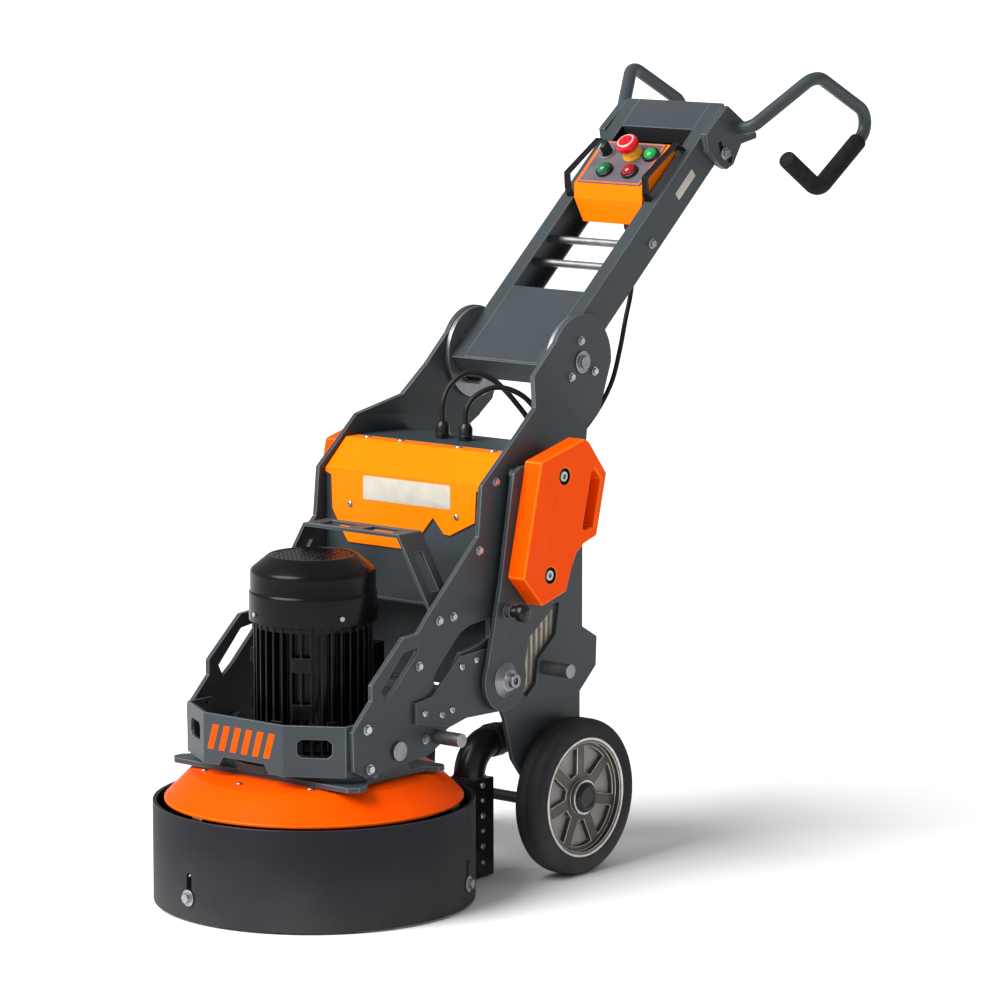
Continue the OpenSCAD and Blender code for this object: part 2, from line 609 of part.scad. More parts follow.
module fan_cover() {
    color(black) difference() {
        rotate_extrude($fn = 96) polygon([[fan_r, cover_z], [fan_r, bead_z], [fan_r - 2, bead_z + 3],
            [fan_r - 2, 515],
            [fan_r - 5, 520], [68, motor_top_z], [0, motor_top_z], [0, motor_top_z - fan_wall],
            [66, motor_top_z - fan_wall], [fan_r - 8, 518], [fan_r - 2 - fan_wall, 514],
            [fan_r - 2 - fan_wall, bead_z + 3], [fan_r - fan_wall, bead_z], [fan_r - fan_wall, cover_z]]);
        for (i = [0 : 15]) rotate([0, 0, i * 22.5]) translate([22, -2.5, motor_top_z - 10]) cube([36, 5, 20]);
    }
}
module stator() {
    color("#8A4B22") translate([0, 0, shell_z + 30]) difference() {
        cylinder(h = 130, r = bore_r - 0.1, $fn = 96);
        translate([0, 0, -1]) cylinder(h = 132, r = 50, $fn = 96);
    }
}
hanger_in = dome_r - 7;
// Height of the dome's shallow upper cone at a radius
function dome_level(r) = dome_top + (dome_top_r - r) * (plate_z - dome_top) / (dome_top_r - 150);
// Fasteners of the head: flange bolts, fan cover screws, skirt bolts and their hangers
module head_bolts() {
    color(zinc) {
        for (i = [0 : 11]) rotate([0, 0, 15 + 30 * i]) translate([120, 0, motor_z + 12]) {
            cylinder(h = 1.5, r = 8, $fn = 32);
            translate([0, 0, 1.5]) cylinder(h = 5, r = 6.5, $fn = 6);
        }
        for (a = [50, 90, 130, 230, 270, 310]) rotate([0, 0, a]) translate([170, 0, dome_level(165) + 0.05])
            cylinder(h = 2.4, r = 5, $fn = 24);
        for (a = [-22, 68, 158, 248]) rotate([0, 0, a]) translate([0, -fan_r - 0.02, cover_z + 13])
            rotate([90, 0, 0]) cylinder(h = 3, r = 4, $fn = 24);
        for (a = skirt_angles) rotate([0, 0, a]) {
            translate([0, -skirt_r - gap, skirt_bolt_z]) rotate([90, 0, 0]) {
                translate([0, 0, 2.5]) cylinder(h = 6, r = 8, $fn = 6);
                cylinder(h = 2.5, r = 13, $fn = 32);
            }
            translate([0, -hanger_in, skirt_bolt_z]) rotate([90, 0, 0])
                cylinder(h = skirt_r + gap - hanger_in, r = skirt_bolt_r, $fn = 32);
            translate([-12, -hanger_in - 8, skirt_bolt_z - 14]) cube([24, 5, dome_z - skirt_bolt_z + 14]);
            translate([-12, -hanger_in - 8, dome_z - 5]) cube([24, 14, 5]);
        }
    }
}
// Duct on the back of the skirt, and the elbow that takes the dust to a hose
elbow_wall = 2.5;
socket_wall = 2;                 // how far the sockets at the elbow's two ends stand proud
socket_len = 22;
socket_lap = 2;                  // how far a socket runs over the bend
module dust_elbow() {
    bore = elbow_d / 2 - elbow_wall;
    duct_top = skirt_lift + skirt_h;
    bend_z = elbow_z - elbow_r;
    bend_y = elbow_y + elbow_r;
    color(black) difference() {
        union() {
            translate([duct[0][0], duct[1][0], skirt_lift]) cube([duct[0][1] - duct[0][0],
                duct[1][1] - duct[1][0], skirt_h]);
            translate([elbow_x, elbow_y, duct_top - 2])
                cylinder(h = bend_z + socket_lap - duct_top + 2, r = elbow_d / 2 + socket_wall, $fn = 64);
            elbow_bend(elbow_d / 2);
            translate([elbow_x, bend_y - socket_lap, elbow_z]) rotate([-90, 0, 0])
                cylinder(h = socket_len, r = elbow_d / 2 + socket_wall, $fn = 64);
            translate([elbow_x, bend_y + 5, elbow_z]) rotate([-90, 0, 0])
                cylinder(h = elbow_end - bend_y - 5, r = elbow_d / 2, $fn = 64);
        }
        elbow_bend(bore - 0.5);
        translate([elbow_x, elbow_y, duct_top - 6])
            cylinder(h = bend_z + socket_lap - duct_top + 6, r = bore, $fn = 64);
        translate([elbow_x, bend_y - socket_lap, elbow_z]) rotate([-90, 0, 0])
            cylinder(h = elbow_end, r = bore, $fn = 64);
        translate([duct[0][0] + 4, duct[1][0] - 5, skirt_lift + 4]) cube([duct[0][1] - duct[0][0] - 8,
            duct[1][1] - duct[1][0] + 1, skirt_h - 8]);
        translate([0, 0, -1]) cylinder(h = duct_top + 2, r = skirt_r + 0.1, $fn = 128);
    }
}
module elbow_bend(r) {
    translate([elbow_x, elbow_y + elbow_r, elbow_z - elbow_r]) rotate([90, 0, -90])
        rotate_extrude(angle = 90, $fn = 64) translate([elbow_r, 0]) circle(r, $fn = 64);
}
module skirt() {
    color(charcoal) difference() {
        translate([0, 0, skirt_lift]) cylinder(h = skirt_h, r = skirt_r, $fn = 160);
        translate([0, 0, skirt_lift - 1]) cylinder(h = skirt_h + 2, r = skirt_r - skirt_wall, $fn = 160);
        for (a = skirt_angles) rotate([0, 0, a]) rotate([90, 0, 0]) translate([0, 0, skirt_r - 20])
            linear_extrude(30) union() {
                translate([0, skirt_bolt_z]) circle(skirt_bolt_r + 1, $fn = 32);
                translate([0, skirt_bolt_z + 32]) circle(skirt_bolt_r + 1, $fn = 32);
                translate([-skirt_bolt_r - 1, skirt_bolt_z]) square([2 * skirt_bolt_r + 2, 32]);
            }
        translate([duct[0][0] + 6, 180, skirt_lift + 16])
            cube([duct[0][1] - duct[0][0] - 12, 100, skirt_h - 36]);
    }
}
// Motor rotor: core, shaft, cooling fan and sun gear
module rotor() {
    color("#9A9DA0") {
        translate([0, 0, carrier_top - carrier_t]) cylinder(h = 380, r = motor_shaft_r, $fn = 64);
        translate([0, 0, shell_z + 32]) cylinder(h = 126, r = 49.4, $fn = 96);
        translate([0, 0, gear_z]) linear_extrude(gear_w) polygon(gear_outline(sun_teeth,
            sun_r - 1.2 * gear_module, sun_r + 0.9 * gear_module, 0.31, 0.13));
        translate([0, 0, 488]) cylinder(h = 4, r = 84, $fn = 96);
        for (i = [0 : 9]) rotate([0, 0, 36 * i]) translate([20, -1.5, 490]) cube([62, 3, 20]);
    }
}
boss_r = 34;
// Carrier: a disc with three bearing housings, turning on the motor shaft's lower end
module carrier() {
    color("#7C8084") difference() {
        union() {
            translate([0, 0, carrier_top - carrier_t]) cylinder(h = carrier_t, r = orbit_r + 24, $fn = 128);
            for (i = [0 : 2]) rotate([0, 0, 120 * i]) translate([orbit_r, 0, 62])
                cylinder(h = carrier_top - 62, r = boss_r, $fn = 64);
        }
        translate([0, 0, 60]) cylinder(h = 100, r = motor_shaft_r + fit, $fn = 64);
        for (i = [0 : 2]) rotate([0, 0, 120 * i]) translate([orbit_r, 0, 50])
            cylinder(h = 110, r = satellite_shaft_r + fit, $fn = 64);
    }
}
// Satellite: gear, shaft and tool plate
module satellite(i) {
    color("#8E9296") rotate([0, 0, 120 * (i - 1)]) translate([orbit_r, 0, 0]) {
        translate([0, 0, tool_h]) cylinder(h = gear_z - tool_h + 4, r = satellite_shaft_r, $fn = 64);
        translate([0, 0, gear_z]) linear_extrude(gear_w - 1) polygon(gear_outline(planet_teeth,
            planet_r - 1.2 * gear_module, planet_r + 0.9 * gear_module, 0.31, 0.13, 180 / planet_teeth));
        translate([0, 0, tool_h]) cylinder(h = tool_plate_t, r = tool_plate_d / 2, $fn = 96);
        translate([0, 0, tool_h + tool_plate_t]) cylinder(h = 26, r = 60, $fn = 64);
        translate([0, 0, tool_h + tool_plate_t]) cylinder(h = 31.6, r = 30, $fn = 64);
    }
}
module satellite_1() satellite(1);
module satellite_2() satellite(2);
module satellite_3() satellite(3);
// Three wedge shoes a satellite, each with two diamond segments
module grinding_shoes(i) {
    color("#B0722A") rotate([0, 0, 120 * (i - 1)]) translate([orbit_r, 0, 0])
        for (k = [0 : 2]) rotate([0, 0, 120 * k + 30]) {
            translate([0, 0, tool_h - 6]) linear_extrude(6) polygon(concat(
                arc_points([0, 0], tool_plate_d / 2 - 4, -26, 26, 8), arc_points([0, 0], 40, 22, -22, 6)));
            for (a = [-13, 13]) rotate([0, 0, a]) translate([54, -7, 0]) cube([34, 14, tool_h - 6]);
        }
}
module grinding_shoes_1() grinding_shoes(1);
module grinding_shoes_2() grinding_shoes(2);
module grinding_shoes_3() grinding_shoes(3);

// ---------- handle ----------
rail_low = rail_top - rail_h;
rail_in = rail_x - rail_flange;
web_in = rail_x - rail_t;
module slab(x0, x1, u0, u1, w0, w1) { translate([x0, u0, w0]) cube([x1 - x0, u1 - u0, w1 - w0]); }
module handle_rails() {
    color(slate) on_handle() difference() {
        union() {
            both() {
                slab(web_in, rail_x, rail_start, rail_len, rail_low, rail_top);
                slab(rail_in, rail_x, rail_start, rail_len, rail_top - rail_t, rail_top);
                slab(rail_in, rail_x, rail_start, rail_len, rail_low, rail_low + rail_t);
            }
            slab(-web_in, web_in, rail_start, rail_start + rail_t, rail_top - 46, rail_top);
        }
        both() bar_along_x(rail_x - 20, rail_x + 1, 0, 0, fold_pin_r);
    }
}
back_low = 330;
cover_end = 112;
top_start = 488;
box_low = rail_low + rail_t + 1;
// Lower cover, top cover with its lip, and the back plate that carries the control box
module handle_covers() {
    color(slate) on_handle() {
        slab(-rail_in, rail_in, rail_start + rail_t, cover_end, rail_top - rail_t, rail_top);
        slab(-rail_in, rail_in, top_start, rail_len, rail_top - rail_t, rail_top);
        slab(-rail_in, rail_in, top_start, top_start + rail_t, 8, rail_top);
        slab(-rail_in, rail_in, rail_len - rail_t, rail_len, rail_low, rail_top);
        slab(-rail_in, rail_in, back_low, rail_len, rail_low, box_low);
    }
}
rung_r = 6.5;
rungs = [[196, 12], [249, 12]];
lock_r = 54.6;                   // radius of the arc slots round the handlebar pivots
lock_a = -132.8;
lock_at = [bar_y, bar_z] + polar(lock_r, lock_a);
// Rungs, index discs, fold pins and fasteners of the handle
module handle_hardware() {
    color(zinc) {
        on_handle() {
            for (p = rungs) bar_along_x(-web_in, web_in, p[0], p[1], rung_r);
            both() {
                bar_along_x(rail_x, disc_in - disc_gap, 0, 0, disc_r - 2);
                bar_along_x(rail_x - 10, neck_x + gap, 0, 0, fold_pin_r);
                bar_along_x(neck_x + gap, neck_x + gap + 2.5, 0, 0, 18);
                translate([neck_x + gap + 2.5, 0, 0]) rotate([0, 90, 0]) cylinder(h = 6, r = 11, $fn = 6);
                bolt_x(rail_x, 266, 1, 4, 6);
            }
        }
        both() {
            bar_along_x(rail_x + bracket_t, bar_x + gap, lock_at[0], lock_at[1], 5);
            bolt_x(bar_x + gap, lock_at[0], lock_at[1], 5, 7);
        }
    }
}
panel_w = 62;                    // the control box's upper face
panel_u = [332, 432];
box_x = 71;
button_u = [361, 402];           // the two rows of controls
dial_at = [-42, button_u[1]];
mushroom_at = [12, button_u[1]];
lamp_at = [50, button_u[1]];
start_at = [-22, button_u[0]];
stop_at = [30, button_u[0]];
button_r = 12;
stem_r = 8;
module at_control(p, w) { translate([p[0], p[1], w]) children(); }
module control_box() {
    color(orange) on_handle() difference() {
        intersection() {
            plate(-box_x, box_x, [[panel_u[0], panel_w], [316, 43], [298, 7], [330, box_low], [432, box_low],
                [432, panel_w]]);
            rotate([90, 0, 180]) translate([0, 0, 280]) linear_extrude(200) polygon([[-box_x, panel_w + 1],
                [box_x, panel_w + 1], [box_x, 43], [59, 5], [59, box_low - 1], [-59, box_low - 1], [-59, 5],
                [-box_x, 43]]);
        }
        slab(-56, 56, 338, 428, box_low + 3, panel_w - 14);
        for (p = [dial_at, mushroom_at, lamp_at, start_at, stop_at])
            at_control(p, panel_w - 20) cylinder(h = 30, r = button_r + 1, $fn = 48);
    }
}
gland_at = [30, 308, 0.4];         // on the box's underside, square to it
module control_gland() {
    color(black) on_handle() translate(gland_at) rotate([146.7, 0, 0]) difference() {
        union() {
            translate([0, 0, 0.2]) cylinder(h = 8, r = 12, $fn = 6);
            translate([0, 0, 8]) cylinder(h = 10, r = 10, $fn = 32);
            translate([0, 0, 18]) cylinder(h = 7, r1 = 10, r2 = 6, $fn = 32);
        }
        translate([0, 0, 6]) cylinder(h = 40, r = 4.6, $fn = 32);
    }
}
panel_t = 2;
bezel_h = 6;
bezel_r = 15;
// Panel with the bezels of its controls
module control_panel() {
    top = panel_w + panel_t;
    color("#77797C") on_handle() difference() {
        union() {
            slab(-66, 66, panel_u[0] + 1, panel_u[1] - 1, panel_w, top);
            for (p = [start_at, stop_at, lamp_at]) at_control(p, top)
                cylinder(h = bezel_h, r = bezel_r, $fn = 48);
            at_control(mushroom_at, top) cylinder(h = 14, r1 = 16, r2 = 13, $fn = 48);
            at_control(dial_at, top) cylinder(h = 3, r = 14, $fn = 48);
        }
        for (p = [start_at, stop_at, lamp_at]) at_control(p, panel_w - 1)
            cylinder(h = 40, r = button_r + fit, $fn = 48);
        for (p = [mushroom_at, dial_at]) at_control(p, panel_w - 1)
            cylinder(h = 40, r = stem_r + fit, $fn = 48);
    }
}
module button(p, tint) {
    color(tint) on_handle() at_control(p, panel_w - 4) {
        cylinder(h = 4 + panel_t + bezel_h + 3, r = button_r, $fn = 48);
        translate([0, 0, 4 + panel_t + bezel_h + 3])
            cylinder(h = 3, r1 = button_r, r2 = button_r - 5, $fn = 48);
    }
}
module start_button() button(start_at, "#0B6B45");
module stop_button() button(stop_at, "#A00A1E");
module pilot_lamp() {
    color("#16A850") on_handle() at_control(lamp_at, panel_w)
        cylinder(h = panel_t + bezel_h + 2, r = button_r, $fn = 48);
}
mushroom_travel = 5;
module stop_mushroom() {
    head = panel_w + panel_t + 14 + mushroom_travel + gap;
    color("#D4142A") on_handle() at_control(mushroom_at, 0) {
        translate([0, 0, panel_w - 8]) cylinder(h = head - panel_w + 8, r = stem_r, $fn = 48);
        translate([0, 0, head]) cylinder(h = 10, r = 19, $fn = 64);
        translate([0, 0, head + 10]) cylinder(h = 4, r1 = 19, r2 = 13, $fn = 64);
    }
}
module speed_dial() {
    color(black) on_handle() at_control(dial_at, 0) {
        translate([0, 0, panel_w - 8]) cylinder(h = 16, r = stem_r, $fn = 48);
        translate([0, 0, panel_w + panel_t + 3 + gap]) cylinder(h = 20, r = 11, $fn = 48);
        translate([-2, -12.5, panel_w + panel_t + 8]) cube([4, 10, 15]);
    }
}
guard_path = [[442, 43], [436, 64], [338, 80], [322, 58], [318, 43]];
guard_t = 4;
// Flat strap guards on each side of the control panel
module panel_guards() {
    outer = guard_path;
    inner = [[318 + guard_t, 43], [322 + guard_t, 57], [339, 80 - guard_t], [432, 62], [442 - guard_t, 43]];
    color(black) on_handle() both() plate(rail_in + 1, rail_in + 13, concat(outer, inner));
}
bracket_outline = [[906, 1186], [856, 1149], [847, 1142], [853, 1113], [888, 1087], [904, 1081], [922, 1088],
    [944, 1121], [986, 1128], [986, 1136], [921, 1177]];
// Fixed brackets of the handlebars, on the rails' outer faces
module bar_brackets() {
    color(slate) both() difference() {
        plate(rail_x, rail_x + bracket_t, bracket_outline);
        bar_along_x(rail_x - 1, bar_x, bar_y, bar_z, bar_r / 2 + fit);
        bar_along_x(rail_x - 1, bar_x, lock_at[0], lock_at[1], 5);
    }
}
swing = 20;
loop_corners = [[loop_x, 1040, 1234], [loop_x, loop_back + 28, 1150], [loop_x, 1048, 1043],
    [loop_x, 962, 1097]];
bar_corners = concat([[rail_x + 0.2, bar_y, bar_z], [136, bar_y + 1, bar_z]], loop_corners);
bar_bends = [0, 26, 36, 30, 30, 0];
grip_run = unit(loop_corners[2] - loop_corners[1]);
grip_start = loop_corners[1] + grip_run * 58;
grip_bends = [0, bar_bends[4], 0];
grip_fit = 0.5;                  // keeps the facets of the grip's bore clear of the tube
grip_tip = unit(loop_corners[3] - loop_corners[2]);
module handlebar(s) {
    color(slate) side(s) {
        difference() {
            sweep(bent_route(bar_corners, bar_bends), bar_r, 16);
            bar_along_x(rail_x - 1, rail_x + bracket_t + gap, bar_y, bar_z, 2 * bar_r);
        }
        difference() {
            plate(rail_x + bracket_t + gap, bar_x, bracket_outline);
            translate([rail_x, 0, 0]) rotate([90, 0, 90]) linear_extrude(30) translate([bar_y, bar_z])
                polygon(concat(arc_points([0, 0], lock_r + 6, lock_a - swing - 6, lock_a + swing + 6, 12),
                    arc_points([0, 0], lock_r - 6, lock_a + swing + 6, lock_a - swing - 6, 12)));
        }
        bar_along_x(rail_x + 0.2, rail_x + bracket_t + gap + 1, bar_y, bar_z, bar_r / 2);
    }
}
module grip(s) {
    color(black) side(s) difference() {
        sweep(bent_route([grip_start, loop_corners[2], loop_corners[3] + grip_tip * 5], grip_bends),
            grip_r, 16);
        sweep(bent_route([grip_start - grip_run * 5, loop_corners[2], loop_corners[3]], grip_bends),
            bar_r + grip_fit, 16);
    }
}
module handlebar_left() handlebar(-1);
module handlebar_right() handlebar(1);
module grip_left() grip(-1);
module grip_right() grip(1);

// ---------- weights ----------
arm_outline = concat([[193, 360], [226, 491], [256, 654], [272, 663], [330, 664], [352, 640], [352, 429],
    [293, 390]], arc_points([weight_y, weight_z], 50, 20, -200, 20));
weight_outline = concat([[239, 493], [282, 671], [390, 697], [401, 691], [445, 637], [420, 540], [388, 531]],
    [[370, 519], [356, 494], [351, 480], [344, 461], [285, 445]]);
weight_slot = [[413, 648], [430, 630], [412, 556], [389, 552], [385, 557], [406, 640]];
weight_bolts = [[340, 643], [305, 491]];
knob_at = [240, 440];
knob_stem_r = 6;
module weight_arm(s) {
    color(slate) side(s) difference() {
        union() {
            plate(arm_x, slab_x, arm_outline);
            bar_along_x(slab_x, slab_x + 12, knob_at[0], knob_at[1], 11);
        }
        bar_along_x(arm_x - 1, slab_x + 1, weight_y, weight_z, weight_pin_r + fit);
        bar_along_x(arm_x - 1, slab_x + 20, knob_at[0], knob_at[1], knob_stem_r + fit);
    }
}
module weight(s) {
    color(orange) side(s) difference() {
        plate(slab_x, slab_x + weight_t, weight_outline);
        plate(slab_x - 1, slab_x + weight_t + 1, weight_slot);
        for (p = weight_bolts) bar_along_x(slab_x + weight_t - 8, slab_x + weight_t + 1, p[0], p[1], 13);
    }
}
knob_travel = 8;
module lock_knob(s) {
    color(black) side(s) {
        bar_along_x(arm_x, slab_x + 30, knob_at[0], knob_at[1], knob_stem_r);
        bar_along_x(slab_x + 12 + gap, slab_x + 32, knob_at[0], knob_at[1], 9);
        translate([slab_x + 32, knob_at[0], knob_at[1]]) rotate([0, 90, 0]) {
            cylinder(h = 12, r = 14, $fn = 48);
            translate([0, 0, 12]) cylinder(h = 5, r1 = 14, r2 = 9, $fn = 48);
        }
    }
}
module weight_arm_left() weight_arm(-1);
module weight_arm_right() weight_arm(1);
module weight_left() weight(-1);
module weight_right() weight(1);
module lock_knob_left() lock_knob(-1);
module lock_knob_right() lock_knob(1);

place() side_plate_left();
place() side_plate_right();
place() front_guard();
place() lifting_bracket();
place() cross_members();
place() cabinet_shell();
place() cabinet_cover();
place() cabinet_lid();
place() heat_sink();
place() glands();
place() axles_and_pins();
place() frame_bolts();
place() cabinet_cables();
place() control_cable();
place() tyre_left();
place() tyre_right();
place() rim_left();
place() rim_right();
place() hub_cap_left();
place() hub_cap_right();
place() dome();
place() head_plate();
place() gearbox();
place() motor_body();
place() fan_cover();
place() stator();
place() head_bolts();
place() dust_elbow();
place() rotor();
place() carrier();
place() satellite_1();
place() satellite_2();
place() satellite_3();
place() grinding_shoes_1();
place() grinding_shoes_2();
place() grinding_shoes_3();
place() skirt();
place() handle_rails();
place() handle_covers();
place() handle_hardware();
place() control_box();
place() control_gland();
place() control_panel();
place() panel_guards();
place() bar_brackets();
place() handlebar_left();
place() handlebar_right();
place() grip_left();
place() grip_right();
place() weight_arm_left();
place() weight_arm_right();
place() weight_left();
place() weight_right();
place() lock_knob_left();
place() lock_knob_right();
place() speed_dial();
place() stop_mushroom();
place() start_button();
place() stop_button();
place() pilot_lamp();
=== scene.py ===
# Looks of the walk-behind floor grinder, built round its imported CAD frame.
import json
import math

import bmesh
import bpy
from mathutils import Matrix, Vector

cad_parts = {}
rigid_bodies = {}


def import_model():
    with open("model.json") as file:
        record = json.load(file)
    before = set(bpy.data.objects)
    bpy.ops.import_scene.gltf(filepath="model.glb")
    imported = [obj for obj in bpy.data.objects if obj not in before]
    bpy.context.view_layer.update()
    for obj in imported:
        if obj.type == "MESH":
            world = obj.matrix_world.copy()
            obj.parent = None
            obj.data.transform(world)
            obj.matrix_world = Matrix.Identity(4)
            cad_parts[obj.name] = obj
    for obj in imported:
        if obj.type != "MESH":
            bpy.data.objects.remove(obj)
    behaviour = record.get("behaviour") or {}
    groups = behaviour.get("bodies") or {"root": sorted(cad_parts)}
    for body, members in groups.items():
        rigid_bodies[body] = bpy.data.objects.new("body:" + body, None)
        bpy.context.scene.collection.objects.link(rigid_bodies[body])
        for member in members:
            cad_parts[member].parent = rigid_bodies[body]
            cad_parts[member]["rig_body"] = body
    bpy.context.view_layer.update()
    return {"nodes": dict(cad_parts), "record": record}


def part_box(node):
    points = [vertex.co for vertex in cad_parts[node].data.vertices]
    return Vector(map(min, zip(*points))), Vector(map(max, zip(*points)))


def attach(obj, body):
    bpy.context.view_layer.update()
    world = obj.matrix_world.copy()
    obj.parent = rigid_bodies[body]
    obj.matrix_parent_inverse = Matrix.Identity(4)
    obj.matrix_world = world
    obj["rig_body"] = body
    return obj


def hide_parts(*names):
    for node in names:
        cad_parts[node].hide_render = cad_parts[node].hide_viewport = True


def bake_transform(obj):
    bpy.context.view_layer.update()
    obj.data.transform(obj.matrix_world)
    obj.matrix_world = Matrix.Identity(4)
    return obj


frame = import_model()
scene = bpy.context.scene
scene.view_settings.view_transform = "Standard"

# ---- places ----
skirtLow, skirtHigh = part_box("skirt")
headY = (skirtLow.y + skirtHigh.y) / 2  # the grinding head's axis
handleTilt = math.radians(40.5)
foldPivot = (0, 517, 798)


def at(x, y, z):
    # a point given in mm from the head's axis and the floor
    return Vector((x / 1000, headY + y / 1000, z / 1000))


def placeAt(x, y, z):
    return Matrix.Translation(at(x, y, z))


def alongX(x, y, z, side=1):
    # local Z points outwards along X
    return placeAt(x, y, z) @ Matrix.Rotation(side * math.pi / 2, 4, "Y")


def onHandle(x, u, w):
    return placeAt(*foldPivot) @ Matrix.Rotation(handleTilt, 4, "X") @ Matrix.Translation(
        Vector((x, u, w)) / 1000)


# ---- node trees ----
class Tree:
    def __init__(self, nodeTree):
        self.nodes = nodeTree.nodes
        self.links = nodeTree.links

    def put(self, socket, value):
        if isinstance(value, Wire):
            self.links.new(value.socket, socket)
        elif isinstance(value, (list, tuple)) and socket.type == "RGBA" and len(value) == 3:
            socket.default_value = (*value, 1)
        else:
            socket.default_value = value

    def add(self, kind, settings=None, inputs=None, output=0):
        node = self.nodes.new(kind)
        for name, value in (settings or {}).items():
            if name == "stops":
                while len(node.color_ramp.elements) < len(value):
                    node.color_ramp.elements.new(0.5)
                for element, (place, tint) in zip(node.color_ramp.elements, value):
                    element.position = place
                    element.color = (*tint, 1) if isinstance(tint, tuple) else (tint, tint, tint, 1)
            else:
                setattr(node, name, value)
        for name, value in (inputs or {}).items():
            self.put(node.inputs[name], value)
        return Wire(self, node, output)


class Wire:
    def __init__(self, tree, node, output=0):
        self.tree = tree
        self.node = node
        self.socket = node.outputs[output] if len(node.outputs) else None

    def calculate(self, operation, first, second):
        return self.tree.add("ShaderNodeMath", {"operation": operation}, {0: first, 1: second})

    def __add__(self, other):
        return self.calculate("ADD", self, other)

    def __radd__(self, other):
        return self.calculate("ADD", other, self)

    def __sub__(self, other):
        return self.calculate("SUBTRACT", self, other)

    def __rsub__(self, other):
        return self.calculate("SUBTRACT", other, self)

    def __mul__(self, other):
        return self.calculate("MULTIPLY", self, other)

    def __rmul__(self, other):
        return self.calculate("MULTIPLY", other, self)

    def __lt__(self, other):
        return self.calculate("LESS_THAN", self, other)

    def __gt__(self, other):
        return self.calculate("GREATER_THAN", self, other)


def between(tree, share, low, high):
    # a colour mixed by a share
    return tree.add("ShaderNodeMix", {"data_type": "RGBA"}, {0: share, 6: low, 7: high}, 2)


# ---- materials ----
dust = {"tint": (0.42, 0.40, 0.38), "height": 0.12}
flecks = {"scale": 0.6, "threshold": 0.66, "gain": 2.2, "lift": 0.02}
cloudStops = [(0.36, 0.0), (0.64, 1.0)]


def makeFinish(name, tint, shade, roughness, spread=0.08, metallic=0.0, coat=0.0, broad=7.0,
               grain=900.0, height=0.00004, speckle=0.0, stretch=(1, 1, 1), coatRoughness=0.12,
               specular=0.22, dusty=0.0):
    # a broad cloud varies colour and gloss, a fine grain gives the surface its skin
    material = bpy.data.materials.new(name)
    material.use_nodes = True
    material.node_tree.nodes.clear()
    tree = Tree(material.node_tree)
    place = tree.add("ShaderNodeTexCoord", output="Object")
    stretched = tree.add("ShaderNodeMapping", None, {"Vector": place, "Scale": stretch})
    cloud = tree.add("ShaderNodeTexNoise", None, {"Vector": place, "Scale": broad, "Detail": 4.0})
    skin = tree.add("ShaderNodeTexNoise", None, {
        "Vector": stretched, "Scale": grain, "Detail": 3.0})
    share = tree.add("ShaderNodeValToRGB", {"stops": cloudStops}, {"Fac": cloud})
    colour = between(tree, share, shade, tint)
    if speckle:
        fleck = tree.add("ShaderNodeTexNoise", None, {
            "Vector": place, "Scale": grain * flecks["scale"], "Detail": 1.0})
        colour = between(tree, (fleck > flecks["threshold"]) * speckle, colour,
                         [min(1, flecks["gain"] * c + flecks["lift"]) for c in tint])
    if dusty:
        # pale dust gathers low down
        up = tree.add("ShaderNodeSeparateXYZ", None, {"Vector": place}, "Z")
        low = tree.add("ShaderNodeMapRange", None, {
            "Value": up, "From Min": 0.0, "From Max": dust["height"], "To Min": 1.0, "To Max": 0.0})
        colour = between(tree, low * cloud * dusty, colour, dust["tint"])
    gloss = roughness - spread / 2 + spread * cloud
    bump = tree.add("ShaderNodeBump", None, {"Strength": 1.0, "Distance": height, "Height": skin})
    shader = tree.add("ShaderNodeBsdfPrincipled", None, {
        "Base Color": colour, "Roughness": gloss, "Metallic": metallic, "Normal": bump,
        "Coat Weight": coat, "Coat Roughness": coatRoughness, "Specular IOR Level": specular})
    tree.add("ShaderNodeOutputMaterial", None, {"Surface": shader})
    return material


